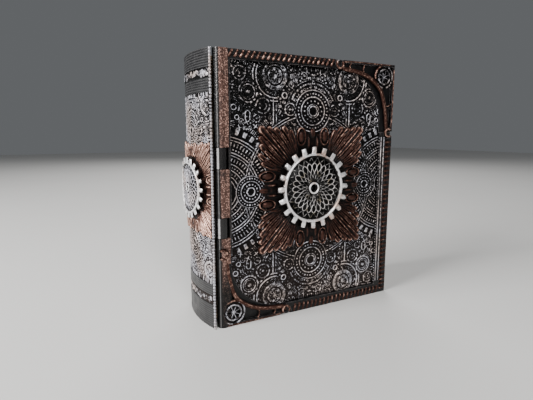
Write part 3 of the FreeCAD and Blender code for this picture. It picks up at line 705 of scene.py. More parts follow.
def digit_paint():
    """Silver paint on the raised digits, worn in places."""
    paint = Paint("digit paint")
    colour = paint.mix(paint.cloud(900, 4, 0.35, 0.65), (0.35, 0.33, 0.31), (0.80, 0.78, 0.76))
    paint.surface(colour, (700, 0.3, 0.5), paint.cloud(300, 2, 0.0, 1.0, 0.3, 0.6))
    return paint.bump((paint.noise(2000, 3), 0.00003))


BLACK = black_print()
RUBBED = silver_rubbed_black()
SILVER = bright_silver()
COPPER = dark_copper()
HAMMERED = hammered_copper()
GLOSS = gloss_black()
BANDED = banded_print()
ROSETTE = dark_rosette()
PAGES = page_paint()
BRONZE = dark_bronze()
BARE = bare_print()
STEEL = steel()
DIGITS = digit_paint()

OWN_PAINT = {
    "spine_knuckle_lower": GLOSS, "spine_knuckle_upper": GLOSS, "spine_bands_smooth": BANDED,
}
SLOT_PAINT = {
    "black_print": BLACK, "rubbed_silver": RUBBED, "silver_paint": SILVER, "copper_paint": HAMMERED,
    "page_paint": PAGES, "aged_bronze": BRONZE, "bare_print": BARE, "steel": STEEL,
}


def finish_cad_nodes():
    """Give every CAD node that stays in view its material."""
    slot_of = {row["node"]: row["material_slot"] for row in frame["record"]["subparts"]}
    for name, item in frame["nodes"].items():
        item.data.materials.clear()
        item.data.materials.append(OWN_PAINT.get(name, SLOT_PAINT[slot_of[name]]))


# ---------------------------------------------------------------- relief panels

PANEL_BASE = -4.2          # the panel's floor, below the cover's front plane
PANEL_MARGIN = 0.1         # how far the panel runs under the frame's edge
RELIEF_STEP = 0.36
CORNER_RADIUS = 39.8
LEAF_HALF = 48.3
LEAF_HIDES_R = 42.0        # no relief is needed under the acanthus plate inside this radius

# Wheels of the pattern, as the u and v of their centres.
SIDE_U = 77.0
AXIS_V = 59.7
TOP_U, TOP_V = 33.7, 84.0
CORNER_U, CORNER_V = 55.5, 71.8
# Ridges as (radius, width) and tooth rows as (inner radius, outer radius, count).
SIDE_RIDGES = (
    (41.0, 1.1), (38.8, 0.8), (30.4, 1.1), (28.4, 0.8), (22.6, 0.9), (18.4, 0.9), (14.2, 0.9), (11.6, 0.8),
)
SIDE_TEETH = ((34.4, 37.6, 84), (24.2, 27.2, 66), (15.2, 17.4, 44))
CENTRE_RIDGES = ((36.2, 1.8), (32.4, 0.8), (27.4, 1.2), (12.6, 1.4), (6.6, 1.2), (3.0, 1.2))


def cog(relief, cx, cy, radius, teeth, height, spokes=0):
    """A toothed wheel with a rim, a hub and optional spokes."""
    relief.clear(cx, cy, radius)
    relief.disc(cx, cy, radius * 0.86, 0.25 * height)
    relief.teeth(cx, cy, radius * 0.80, radius, teeth, 0.55, 0.8 * height)
    relief.ring(cx, cy, radius * 0.76, radius * 0.16 + 0.25, 0.8 * height, floor=0.2)
    relief.ring(cx, cy, radius * 0.40, radius * 0.12 + 0.3, 0.7 * height, floor=0.2)
    for i in range(spokes):
        relief.turned_bar(
            cx, cy, TURN * i / spokes, (radius * 0.42, 0), (radius * 0.72, 0), radius * 0.1 + 0.25,
            0.6 * height, 0.2,
        )
    relief.dome(cx, cy, radius * 0.2 + 0.2, 0.9 * height, 0.2)


def washer(relief, cx, cy, radius, height):
    relief.clear(cx, cy, radius + 0.3)
    relief.ring(cx, cy, radius * 0.75, radius * 0.45, height, floor=0.15)
    relief.dome(cx, cy, radius * 0.3, height * 0.8)


def bead_wheel(relief, cx, cy, ridges, bead_rings):
    """Concentric ridges as (radius, width) and circles of beads as (radius, count, size)."""
    outermost = max(radius for radius, _ in ridges)
    relief.clear(cx, cy, outermost + 0.6)
    relief.disc(cx, cy, outermost, 0.2)
    for radius, width in ridges:
        relief.ring(cx, cy, radius, width, 1.2, floor=0.15)
    for radius, count, size in bead_rings:
        relief.beads(cx, cy, radius, count, size, 1.2, floor=0.1)


def rails(relief, cx, cy, turn, half_length, apart, width, height):
    """Two parallel bars."""
    for side in (-apart / 2, apart / 2):
        relief.turned_bar(cx, cy, turn, (-half_length, side), (half_length, side), width, height)


def rungs(relief, cx, cy, turn, places, half, width, height):
    """Short bars across a line, at some places along it."""
    for place in places:
        relief.turned_bar(cx, cy, turn, (place, -half), (place, half), width, height)


def ladder(relief, cx, cy, radius, turn):
    """Two parallel bars with rungs between them."""
    rails(relief, cx, cy, turn, 0.8 * radius, 0.9 * radius, 0.8, 1.2)
    rungs(relief, cx, cy, turn, np.arange(-0.7 * radius, 0.7 * radius, 1.2), 0.4 * radius, 0.6, 0.8)


def comb(relief, cx, cy, radius, turn):
    """A short comb of parallel bars."""
    rungs(relief, cx, cy, turn, np.arange(-0.75 * radius, 0.8 * radius, 1.35), 0.6 * radius, 0.8, 1.2)


def double_arc(relief, cx, cy, radius, turn):
    """Part of two concentric rings with beads inside them."""
    start = math.degrees(turn)
    end = start + 230
    relief.ring(cx, cy, radius * 0.9, 0.8, 1.2, start, end)
    relief.ring(cx, cy, radius * 0.9 - 1.5, 0.7, 1.1, start, end)
    if radius > 3:
        relief.beads(cx, cy, radius * 0.9 - 2.7, int(radius * 1.6), 0.5, 1.0, start, end)
    relief.dome(cx, cy, min(1.0, radius * 0.3), 1.2)


def bead_row(relief, cx, cy, radius, turn):
    """A row of beads between two bars."""
    for place in np.arange(-0.85 * radius, 0.9 * radius, 1.3):
        c, s = polar(turn, place)
        relief.dome(cx + c, cy + s, 0.62, 1.2)
    rails(relief, cx, cy, turn, 0.8 * radius, 2.4, 0.7, 1.1)


def random_place(random, relief):
    """A random point of the map."""
    u = random.uniform(relief.u_axis[0], relief.u_axis[-1])
    return u, random.uniform(relief.v_axis[0], relief.v_axis[-1])


def scatter(relief, seed, tries):
    """Fill bare patches with small cogs, combs, arcs, washers and rivets, the large ones first."""
    random = np.random.default_rng(seed)
    for number in range(tries):
        radius = 4.4 - 3.5 * (number / tries) ** 0.6
        cx, cy = random_place(random, relief)
        kind = random.integers(0, 8)
        turn = random.uniform(0, TURN)
        if relief.crowded(cx, cy, radius):
            continue
        if radius > 1.9 and kind < 2:
            cog(relief, cx, cy, radius, int(radius * 4.2), 1.3, spokes=int(kind) * 5)
        elif radius > 1.9:
            shape = (ladder, comb, comb, bead_row, double_arc, double_arc)[kind - 2]
            shape(relief, cx, cy, radius, turn)
        elif radius > 1.2 and kind < 3:
            washer(relief, cx, cy, radius * 0.85, 1.1)
        elif radius > 1.2:
            rails(relief, cx, cy, turn, radius * 0.7, radius * 0.63, 0.7, 1.1)
        else:
            relief.dome(cx, cy, radius, 1.0)


def pepper(relief, seed, tries):
    """Dot what is still bare with pin heads and short dashes."""
    random = np.random.default_rng(seed)
    size = 0.75
    for _ in range(tries):
        cx, cy = random_place(random, relief)
        turn = random.uniform(0, TURN)
        if relief.crowded(cx, cy, size):
            continue
        if random.random() < 0.55:
            relief.dome(cx, cy, size, 0.9)
        else:
            relief.turned_bar(cx, cy, turn, (-0.7, 0), (0.7, 0), 0.8, 0.9)


def grit(relief, seed):
    """Fine lumps over the whole map, as on a casting."""
    grain = stretched(blur(np.random.default_rng(seed).random(relief.height.shape), 1))
    relief.height += 0.75 * np.clip((grain - 0.56) / 0.3, 0, 1)


def centre_wheel(relief):
    """The great spoked wheel in the middle of the back cover, where the front has its medallion."""
    relief.clear(0, 0, 41.0)
    relief.teeth(0, 0, 37.0, 41.0, 48, 0.5, 1.5)
    for radius, width in CENTRE_RIDGES:
        relief.ring(0, 0, radius, width, 1.5)
    for radius, count, size, height in ((34.2, 60, 0.7, 1.2), (29.9, 44, 1.0, 1.3), (9.6, 20, 0.9, 1.3)):
        relief.beads(0, 0, radius, count, size, height)
    for turn in range(0, 360, 60):
        for side in (-1.4, 1.4):
            relief.turned_bar(0, 0, math.radians(turn), (13.0, side), (27.0, side), 1.0, 1.4)


def side_wheels(relief):
    """The wheel centred on the panel's side at mid-height, and the one between it and the plate."""
    relief.disc(SIDE_U, 0, 48.0, 0.08)
    for radius, width in SIDE_RIDGES:
        relief.ring(SIDE_U, 0, radius, width, 1.3)
    for inner, outer, count in SIDE_TEETH:
        relief.teeth(SIDE_U, 0, inner, outer, count, 0.42, 1.1)
    relief.teeth(SIDE_U, 0, 43.0, 47.6, 44, 0.5, 1.3)
    relief.beads(SIDE_U, 0, 32.5, 84, 0.75, 1.3)
    relief.beads(SIDE_U, 0, 20.5, 56, 0.7, 1.2)
    bead_wheel(
        relief, 53.5, 0, ((11.9, 0.8), (8.0, 0.9), (3.2, 1.2)), ((10.0, 30, 0.75), (5.6, 14, 0.8))
    )


def axis_wheel(relief):
    """The bead wheel on the vertical axis, with a beaded arc over it."""
    bead_wheel(
        relief, 0, AXIS_V, ((15.8, 0.9), (10.6, 1.2), (5.2, 0.8), (3.7, 1.2)),
        ((13.1, 32, 0.85), (7.7, 14, 0.75)),
    )
    relief.beads(0, AXIS_V, 20.5, 30, 1.1, 1.1, 25, 155)
    relief.ring(0, AXIS_V, 23.2, 0.7, 0.9, 20, 160)


def top_wheel(relief):
    """The spoked gear at the top, with a double arc on its outer side and uprights below it."""
    for radius, width, height in ((18.0, 1.3, 1.6), (15.6, 1.3, 1.6), (16.8, 0.7, 1.0)):
        relief.ring(TOP_U, TOP_V, radius, width, height, 262, 385)
    relief.clear(TOP_U, TOP_V, 14.0)
    cog(relief, TOP_U, TOP_V, 11.6, 52, 1.4)
    for radius in (9.9, 7.6, 5.6):
        relief.ring(TOP_U, TOP_V, radius, 0.7, 1.3, floor=0.2)
    for i in range(5):
        c, s = polar(TURN * i / 5 + 0.3, 3.1)
        relief.ring(TOP_U + c, TOP_V + s, 1.1, 0.7, 1.2, floor=0.2)
    relief.dome(TOP_U, TOP_V, 1.6, 1.5)
    for u, height in ((32.4, 1.1), (35.0, 1.6)):
        relief.bar(u, 49.5, u, 67.0, 0.9, height)


def corner_wheels(relief):
    """Small gears and washers towards the panel's outer corner."""
    cog(relief, CORNER_U, CORNER_V, 9.4, 34, 1.4)
    relief.beads(CORNER_U, CORNER_V, 10.6, 30, 0.6, 1.0)
    relief.ring(CORNER_U, CORNER_V, 5.2, 0.8, 1.3, floor=0.2)
    for cx, cy, radius, teeth, spokes in (
        (43.5, 62.5, 7.2, 26, 6), (20.5, 60.5, 5.8, 22, 5), (62.0, 84.5, 6.2, 20, 6),
    ):
        cog(relief, cx, cy, radius, teeth, 1.2, spokes)
    for cx, cy, radius in ((25.4, 70.5, 2.7), (66.8, 61.0, 2.5), (64.3, 54.0, 2.1)):
        washer(relief, cx, cy, radius, 1.3)


def small_fittings(relief):
    """Stepped blocks and a forked pointer outside the side wheel, and short bars at the edges."""
    for cx, cy, turn in ((56.5, 50.8, 65), (49.5, 47.8, 40), (62.5, 46.6, 80)):
        relief.block(cx, cy, 5.2, 1.0, turn, 1.5)
        relief.block(cx, cy, 1.0, 4.4, turn, 1.5)
    for u in (54.0, 57.6):
        relief.bar(u, 52.5, u, 57.0, 0.8, 1.4)
    relief.ring(55.8, 57.0, 1.8, 0.8, 1.4, 0, 180)
    for v in np.arange(52.0, 90.0, 2.1):
        relief.bar(69.2, v, 71.0, v, 0.9, 0.9)
    for u in np.arange(2.0, 30.0, 2.1):
        relief.bar(u, 89.6, u, 91.2, 0.9, 0.9)


def clockwork(under_leaf):
    """One quarter of the panel's pattern. u and v are distances from the medallion's centre."""
    half_width = max(MEDAL[0] - PANEL_LOW[0], PANEL_HIGH[0] - MEDAL[0]) + 1
    half_height = max(MEDAL[2] - PANEL_LOW[2], PANEL_HIGH[2] - MEDAL[2]) + 1
    hidden_half = LEAF_HALF - 4 if under_leaf else 0.0
    relief = Relief(-6, half_width, -6, half_height, RELIEF_STEP, hidden_half)
    # the great wheel behind the medallion, seen above and below the acanthus plate
    for radius in (56.6, 58.6):
        relief.ring(0, 0, radius, 0.9, 1.3)
    relief.teeth(0, 0, 59.3, 61.2, 120, 0.5, 0.8)
    side_wheels(relief)
    axis_wheel(relief)
    top_wheel(relief)
    corner_wheels(relief)
    small_fittings(relief)
    if under_leaf:
        relief.clear(0, 0, LEAF_HIDES_R)
    else:
        centre_wheel(relief)
    scatter(relief, 7, 7000)
    pepper(relief, 11, 6000)
    grit(relief, 13)
    if under_leaf:
        relief.clear(0, 0, LEAF_HIDES_R)
    return relief


def nearest(axis, places):
    """The numbers of the axis values that lie nearest to some places."""
    step = axis[1] - axis[0]
    return np.clip(np.round((places - axis[0]) / step), 0, len(axis) - 1).astype(int)


def folded(relief, u, v):
    """Read the quarter's heights at mirrored places."""
    return relief.height[nearest(relief.v_axis, np.abs(v)), nearest(relief.u_axis, np.abs(u))]


def above_surroundings(height, step, reach):
    return height - blur(height, max(1, int(round(reach / step))))


def high_points(height, step, reach=1.6, gain=0.75):
    """Rub values: how far a point stands above its surroundings, and above the floor."""
    return np.clip(gain * above_surroundings(height, step, reach) + 0.24 * height - 0.02, 0, 1)


def cut_off(across, up):
    """Whether a round corner cuts a place off, from the place's distances in from two edges."""
    du, dv = CORNER_RADIUS - across, CORNER_RADIUS - up
    return (du > 0) & (dv > 0) & (np.hypot(du, dv) > CORNER_RADIUS)


def relief_panel(name, relief, place, body, node):
    """Both halves of a cover's panel, cut to the frame's opening with its two round corners."""
    left, right = PANEL_LOW[0] - PANEL_MARGIN, PANEL_HIGH[0] + PANEL_MARGIN
    low, high = PANEL_LOW[2] - PANEL_MARGIN, PANEL_HIGH[2] + PANEL_MARGIN
    middle = MEDAL[2]
    for half, v0, v1 in (("lower", low, middle), ("upper", middle, high)):
        u, v = np.meshgrid(
            np.arange(left, right, RELIEF_STEP), np.arange(v0, v1 + RELIEF_STEP, RELIEF_STEP)
        )
        v = np.minimum(v, v1)
        height = folded(relief, u - MEDAL[0], v - middle)
        shown = ~(cut_off(right - u, high - v) | cut_off(u - left, v - low))
        grid = shown_grid(u, v, PANEL_BASE + height, high_points(height, RELIEF_STEP), shown)
        build_sheet(f"{name}_{half}", grid, PANEL_BASE - 0.2, place, RUBBED, body, (node,))


def spine_panel(relief):
    """The same clockwork, reduced and wrapped round the spine."""
    low, high = box_mm("spine_relief")
    half_arc = arc_to(high[1], SPINE_R)
    step = RELIEF_STEP * 0.9
    u, v = np.meshgrid(np.arange(-half_arc, half_arc, step), np.arange(low[2], high[2], step))
    height = folded(relief, u / SPINE_SCALE, (v - SPINE_MEDAL_V) / SPINE_SCALE)
    rub = np.clip(high_points(height, step, 1.2, 1.15) + 0.16, 0, 1)
    grid = shown_grid(u, v, 0.05 + 0.5 * height, rub, np.ones_like(height, bool))
    build_sheet("spine_clockwork", grid, -0.2, on_spine, RUBBED, "case", ("spine_relief",))


# ---------------------------------------------------------------- acanthus plates

GEAR_CLEAR = 33.5          # the plate stays under the ring gear inside this radius
LEAF_BORE = 22.0
LEAF_SPAN = 50.5           # half the side of the square in which the plate's outline lies
LEAF_STEP = 0.36
# Fingers of one corner fan, in one eighth of the plate: root, bend and tip as (out, along), the
# half width at root and tip, and the height of the tip. "out" is the distance from the medallion's
# centre towards the plate's edge and "along" the distance sideways.
FINGERS = (
    ((21.0, 21.0), (33.0, 33.0), (45.2, 45.2), 1.5, 3.3, 1.00),
    ((23.5, 18.5), (37.0, 29.5), (46.0, 39.0), 1.2, 2.2, 0.86),
    ((24.5, 17.0), (38.5, 24.0), (45.2, 33.2), 1.2, 2.3, 0.82),
    ((25.5, 15.5), (38.5, 19.6), (46.2, 26.4), 1.1, 2.2, 0.78),
    ((26.5, 14.0), (37.0, 16.6), (44.0, 20.4), 1.0, 1.9, 0.70),
    ((26.0, 20.0), (36.0, 29.8), (41.6, 36.4), 0.7, 1.2, 0.92),
    ((27.0, 17.6), (36.0, 23.8), (42.4, 29.2), 0.7, 1.2, 0.86),
    ((28.0, 15.6), (36.0, 19.0), (41.6, 22.8), 0.6, 1.1, 0.80),
)


def finger(height, a, b, root, bend, tip, half_root, half_tip, lift):
    """Raise one spoon-shaped finger along a curve: its rim stands higher than its middle."""
    t = np.linspace(0, 1, 9)[:, None]
    path = (1 - t) ** 2 * np.array(root) + 2 * t * (1 - t) * np.array(bend) + t**2 * np.array(tip)
    closest = np.full_like(a, 1e9)
    share = np.zeros_like(a)
    for i, ((a0, b0), (a1, b1)) in enumerate(zip(path, path[1:])):
        length = math.hypot(a1 - a0, b1 - b0)
        along = np.clip(((a - a0) * (a1 - a0) + (b - b0) * (b1 - b0)) / length**2, 0, 1)
        off = np.hypot(a - a0 - along * (a1 - a0), b - b0 - along * (b1 - b0))
        closer = off < closest
        closest = np.where(closer, off, closest)
        share = np.where(closer, (i + along) / (len(path) - 1), share)
    across = closest / (half_root + (half_tip - half_root) * share**1.4)
    bowl = 0.62                # half width of the spoon's hollow, as a share of the finger's
    floor = 0.50 + 0.34 * np.clip((share - 0.72) / 0.28, 0, 1)
    hollow = floor + (1 - floor) * (across / bowl) ** 2
    spoon = np.where(across < bowl, hollow, ridge(across - bowl, 1 - bowl))
    crest = 0.40 + (lift - 0.40) * share**0.55
    return np.maximum(height, crest * np.where(across < 1, spoon, 0))


def acanthus(u, v):
    """Heights of the plate above its floor, from 0 to 1, and 0 outside it."""
    a, b = np.maximum(np.abs(u), np.abs(v)), np.minimum(np.abs(u), np.abs(v))
    height = 0.28 * np.clip((45.0 - np.hypot(a, b)) / 3.0, 0, 1)
    for shape in FINGERS:
        height = finger(height, a, b, *shape)
    # an egg in a raised collar each side of the axis, a bud between them and two darts
    egg = np.hypot((a - 40.2) / 7.0, (b - 10.8) / 4.1)
    height = np.where(egg < 1.05, 0.08, height)
    height = np.maximum(height, 0.56 * ridge(np.abs(egg - 0.93), 0.12))
    height = np.maximum(height, 0.70 * ridge(egg, 0.74))
    bud = np.hypot((a - 42.6) / 4.4, b / 2.4)
    height = np.maximum(height, 0.60 * ridge(bud, 1.0) * (0.7 + 0.3 * np.clip(b / 1.2, 0, 1)))
    for centre, side in ((35.6, 3.9), (35.0, 15.9)):
        dart = np.hypot((a - centre) / 5.4, (b - side) / 1.15)
        height = np.maximum(height, 0.58 * ridge(dart, 1.0))
    return height


def acanthus_plate(name, place, body, node, heights, scale, centre, painted_light=0.0, reach=51.0):
    """
    The square leaf plate, hollowed under the ring gear and cut off at `reach` on both sides.
    `heights` are its floor, its depth above that, and the most it may have under the gear.
    """
    base, depth, gear_clearance = heights
    span = np.arange(-LEAF_SPAN, LEAF_SPAN + LEAF_STEP, LEAF_STEP)
    u, v = np.meshgrid(span, span)
    out = np.hypot(u, v)
    height = acanthus(u, v)
    raised = above_surroundings(height, LEAF_STEP, 1.3)
    # the last argument raises the rub: painted light that makes the spine's copy brighter, as the spine is
    # more strongly lit
    rub = np.clip(0.12 + painted_light + 2.8 * raised + 0.40 * height, 0, 1.0 + painted_light)
    # painted shade: the plate is darker where it lies under the ring gear
    rub = np.where(out < GEAR_CLEAR, rub * 0.5, rub)
    w = base + depth * height
    w = np.where(out < GEAR_CLEAR, np.minimum(w, gear_clearance), w)
    shown = (height > 0.02) & (out > LEAF_BORE) & (np.abs(u) < reach)
    grid = shown_grid(u, v, w, rub, shown)
    build_sheet(name, grid, base - 0.4, place, COPPER, body, (node,), scale, centre)


# ---------------------------------------------------------------- medallions

TOOTH_COUNT = 20
TIP_R = (GEAR_HIGH[0] - GEAR_LOW[0]) / 2
ROOT_R = TIP_R - 4.8
BORE_R = TIP_R - 7.4
GABLE = 1.3                # how far a tooth's ridge stands above its sides
TOOTH_RIDGE = 3            # the corner on a tooth's ridge, of the six corners of each pitch
TOOTH_SIDES = (0, -1, -1, 0, 1, 1)     # which side of the tooth each of them is on
HUB_R = 5.8
EYE_R = 3.2
LOOPS = 24                 # of the rosette, each from the hub out and back
# One side of a loop: distance from the centre, and the angle from the loop's middle in loop pitches.
LOOP_SIDE = ((6.0, 2.05), (8.6, 1.55), (12.0, 1.05), (15.6, 0.56), (18.0, 0.40), (19.3, 0.22))
LOOP_TOP_R = 19.8
SPINE_GEAR_TOP = 5.6       # height of the spine's gear above the shell
SPINE_GEAR_DEPTH = 3.4


def offset_outline(outline, inset):
    """Move a closed outline inward by a distance, keeping its corners."""
    before = outline - np.roll(outline, 1, axis=0)
    after = np.roll(outline, -1, axis=0) - outline
    inward = [np.stack([-side[:, 1], side[:, 0]], axis=1) for side in (before, after)]
    inward = [side / np.linalg.norm(side, axis=1)[:, None] for side in inward]
    middle = inward[0] + inward[1]
    middle /= np.linalg.norm(middle, axis=1)[:, None]
    reach = inset / np.maximum((middle * inward[0]).sum(axis=1), 0.4)
    return outline + middle * reach[:, None]


def gear_outline():
    """The rim's corners anticlockwise, with the middle of each tooth's tip and foot."""
    root_half, tip_half = 2.35 / ROOT_R, 2.1 / TIP_R
    pitch_half = TURN / TOOTH_COUNT / 2
    outline = []
    for i in range(TOOTH_COUNT):
        middle = TURN * (i / TOOTH_COUNT + 0.25)
        outline += [
            polar(middle - pitch_half, ROOT_R), polar(middle - root_half, ROOT_R),
            polar(middle - tip_half, TIP_R), polar(middle, TIP_R + 0.05),
            polar(middle + tip_half, TIP_R), polar(middle + root_half, ROOT_R),
        ]
    return np.array(outline)


def brushed(facing, dark):
    """Rub factors by the way a surface leans, as painted shade: `dark` where it leans towards the lower
    right, away from light at the upper left.
    """
    away = facing @ np.array([0.6, -0.8])
    return 1 - (1 - dark) * np.clip(away / 0.35, 0, 1)


def toothed_plate(low, high):
    """The outer plate of the ring gear: a flat ring whose teeth have gabled tops."""
    outline = gear_outline()
    count = len(outline)
    on_ridge = np.arange(count) % 6 == TOOTH_RIDGE
    direction = outline / np.linalg.norm(outline, axis=1)[:, None]
    around = np.stack([-direction[:, 1], direction[:, 0]], axis=1)
    # painted shade: the tooth facets that face the lower right are darkened
    shading = brushed(around * np.tile(TOOTH_SIDES, TOOTH_COUNT)[:, None], 0.22)
    inner = direction * (BORE_R + 0.9)
    eaves = high - GABLE
    layers = []
    # the walls take rub 0 and come out dark: partly the paint's dark recesses, partly painted shade
    # between the teeth
    for inset, w, rub in ((0, low, 0.0), (0, eaves - 0.45, 0.0), (0, eaves - 0.3, 0.3), (0.3, eaves, 1.0)):
        lift = np.where(on_ridge & (inset > 0), GABLE, 0.0)
        layers.append((offset_outline(outline, inset), w + lift, rub))
    layers.append((direction * (ROOT_R - 0.2), eaves + np.where(on_ridge, GABLE, 0.0), 1.0))
    layers.append((inner, np.full(count, eaves), 0.9))
    layers.append((inner, np.full(count, low), 0.0))
    points = np.concatenate([np.column_stack([shape, w]) for shape, w, _ in layers])
    rubs = np.concatenate([rub * shading for _, _, rub in layers])
    return Piece().add(points, join_rings(len(layers), count, True), rubs)


def rounded(middle, half, foot, rise, angles, low_rub, rub_rise):
    """Profile points over a round top, from its outer side (0 degrees) to its inner one (180)."""
    sides = [polar(math.radians(angle)) for angle in angles]
    return [(middle + half * c, foot + rise * s, low_rub + rub_rise * s) for c, s in sides]


def rim_band(low, high):
    """The rounded band inside the teeth, with a dark groove round the rosette and painted shade on the
    upper left of its inner slope.
    """
    outer, inner = ROOT_R - 0.35, BORE_R - 0.2
    middle, half = (outer + inner) / 2, (outer - inner) / 2
    profile = [(outer, low, 0.1), (outer, high - 0.8, 0.45)]
    profile += rounded(middle, half, high - 0.8, 0.8, (20, 50, 80, 105), 0.55, 0.45)
    profile += [(inner + 0.5, high - 1.2, 0.42), (inner, high - 1.5, 0.1), (inner, low, 0.0)]
    piece = Piece()
    lathe(piece, 0, 0, profile, 120)
    points, rubs = piece.points[0], piece.rubs[0]
    off = np.hypot(points[:, 0], points[:, 1])
    inner_slope = off < middle - 0.1 * half
    inward = -points[:, :2] / off[:, None]
    # painted shade: the inner slope is darkened where it faces the lower right
    rubs[inner_slope] *= brushed(inward, 0.30)[inner_slope]
    return piece


def rosette(low, high, worn=0.0):
    """Openwork of loops whose wires cross on their way to the hub, over a dark disc."""
    piece = Piece()
    backing = ((BORE_R - 0.1, low), (BORE_R - 0.1, low + 0.4), (1.0, low + 0.4), (1.0, low))
    # `worn` raises the rub of the backing and the wires: painted light that makes the spine's copy
    # brighter
    lathe(piece, 0, 0, [(radius, w, 1.5 * worn) for radius, w in backing], 72)
    pitch = TURN / LOOPS
    other_side = tuple((r, -swing) for r, swing in reversed(LOOP_SIDE))
    outline = LOOP_SIDE + ((LOOP_TOP_R, 0.0),) + other_side
    for i in range(LOOPS):
        path = smooth_path([(*polar((i + swing) * pitch, r), high - 0.5) for r, swing in outline], 5)
        out = np.clip((np.hypot(path[:, 0], path[:, 1]) - 8.0) / 11.0, 0, 1)
        sweep(piece, path, 0.17 + 0.21 * out, 0.5, 6, high=0.74 + 0.3 * out + worn)
        for side in (-0.5, 0.5):
            ends = (polar(i * pitch, 19.9), polar((i + side) * pitch, 24.3))
            sweep(piece, [(*end, high - 0.8) for end in ends], 0.24, 0.35, 6, high=0.72 + worn)
    hoop(piece, 0, 0, 24.2, high - 0.8, 0.22, 0.35, 6, 96, high=0.4)
    hoop(piece, 0, 0, 6.3, high - 0.6, 0.22, 0.4, 6, 64, high=0.6)
    return piece


def hub(low, high):
    """A bright ring round the eye, in a dark groove."""
    floor = low + 0.4
    profile = [(HUB_R, low, 0.0), (HUB_R, high - 1.5, 0.0), (4.75, high - 1.5, 0.0)]
    profile += rounded(4.0, 0.72, high - 0.7, 0.7, (0, 35, 70, 110, 145, 180), 0.45, 0.55)
    profile += [(EYE_R, high - 1.0, 0.1), (EYE_R, floor, 0.0), (0.01, floor, 0.0), (0.01, low, 0.0)]
    piece = Piece()
    lathe(piece, 0, 0, profile)
    return piece


def medallion():
    """Acanthus plate, ring gear, rosette and hub on the front cover."""
    centre = (MEDAL[0], MEDAL[2], 0)
    low, high = FRONT_PLANE - GEAR_HIGH[1], FRONT_PLANE - GEAR_LOW[1] - 0.02
    acanthus_plate(
        "acanthus_plate", on_front, "cover", "leaf_plate", (-3.9, 4.3, low - 0.25), 1.0, centre
    )
    for name, piece, paint, node in (
        ("gear_teeth", toothed_plate(low, high), SILVER, "ring_gear"),
        ("gear_rim", rim_band(low, high), SILVER, "ring_gear"),
        ("rosette_wires", rosette(-2.6, 0.8), ROSETTE, "rosette_mesh"),
        ("hub_boss", hub(-2.6, 1.4), SILVER, "hub_ring"),
    ):
        piece.build(name, on_front, paint, "cover", (node,), 1.0, centre)


def spine_medallion():
    """The same medallion, reduced and bent round the spine."""
    strip_middle = sum(box_mm("spine_edge_strip"))[1] / 2
    reach = -arc_to(strip_middle, SPINE_R + 4.6) / SPINE_SCALE
    heights = (0.6 / SPINE_SCALE, 3.0, 2.9 / SPINE_SCALE)
    centre = (0, SPINE_MEDAL_V, 0)
    # the spine's plate and rosette get extra rub: painted light, as the spine is lit more strongly from
    # the left
    acanthus_plate(
        "spine_acanthus", on_spine, "case", "spine_leaf", heights, SPINE_SCALE, centre, 0.4, reach
    )
    low, high = -SPINE_GEAR_DEPTH, -0.05
    lifted = (0, SPINE_MEDAL_V, SPINE_GEAR_TOP)
    for name, piece, paint, nodes in (
        ("spine_gear_teeth", toothed_plate(low, high), SILVER, ("spine_gear",)),
        ("spine_gear_rim", rim_band(low, high), SILVER, ("spine_gear",)),
        ("spine_rosette_wires", rosette(low - 0.4, -1.0, 0.3), RUBBED, ("spine_rosette",)),
        ("spine_hub", hub(low - 0.4, -0.4), SILVER, ()),
    ):
        piece.build(name, on_spine, paint, "case", nodes, SPINE_SCALE, lifted)


# ---------------------------------------------------------------- rope mouldings

ROPE_PITCH = 4.1
ROPE_MARGIN = 0.25         # how far the strands end before the cover's edge
ROPE_GROOVE = 0.66         # where the groove between strand and nub runs, as a share of the width


def rope(name, node, place, body, slant, shine):
    """Strands from a CAD strip's inner side out to the cover's edge, each with a nub past a groove."""
    low, high = box_mm(node)
    long_axis = 0 if high[0] - low[0] > high[2] - low[2] else 2
    side_axis = 2 - long_axis
    start, end = low[long_axis], high[long_axis]
    if low[side_axis] > MEDAL[side_axis]:
        inner, outer = low[side_axis], COVER_HIGH[side_axis] - ROPE_MARGIN
    else:
        inner, outer = high[side_axis], COVER_LOW[side_axis] + ROPE_MARGIN

    def point(along, share, w):
        across = inner + share * (outer - inner)
        return (along, across, w) if long_axis == 0 else (across, along, w)

    piece = Piece()
    core = [point(along, 0.32, -1.3) for along in (start + 0.3, end - 0.3)]
    sweep(piece, core, 1.5, 0.9, high=0.2)
    shares = np.linspace(0, 1, 17)
    strand_part = ridge(shares - ROPE_GROOVE / 2, ROPE_GROOVE / 2) ** 0.45
    nub_part = ridge(shares - (1 + ROPE_GROOVE) / 2, (1 - ROPE_GROOVE) / 2) ** 0.8
    swell = np.maximum(strand_part, 0.85 * nub_part)
    strands = int((end - start) / ROPE_PITCH)
    spacing = (end - start) / strands
    for i in range(strands):
        middle = start + spacing * (i + 0.5)
        path = [
            point(middle + slant * (share - 0.5) * spacing, share, -1.7 + 0.8 * lift)
            for share, lift in zip(shares, swell)
        ]
        half = spacing * (0.12 + 0.13 * swell)
        sweep(piece, path, half, 0.9, high=shine * (0.15 + 0.85 * swell))
    piece.build(name, place, COPPER, body, (node,))


# ---------------------------------------------------------------- corner ornaments

# The ornament's points are distances in from the corner's two edges.
BAND = (
    (54.5, 6.6), (48.3, 7.2), (36.0, 8.8), (24.0, 13.4),
    (13.4, 22.6), (8.3, 38.0), (7.0, 47.0), (6.2, 53.0),
)
# The band's rolls: distance from its middle line, half width, height, half depth and shine.
ROLLS = ((0.0, 1.75, -1.4, 1.25, 0.84), (0.75, 0.6, -0.75, 0.6, 0.94), (-0.75, 0.5, -0.75, 0.5, 0.88))
EYELETS = (((57.1, 3.3), 270), ((4.0, 56.2), 180))      # with the direction each one's arc faces
EYELET_R = 3.2
EYELET_HALF_ARC = 125
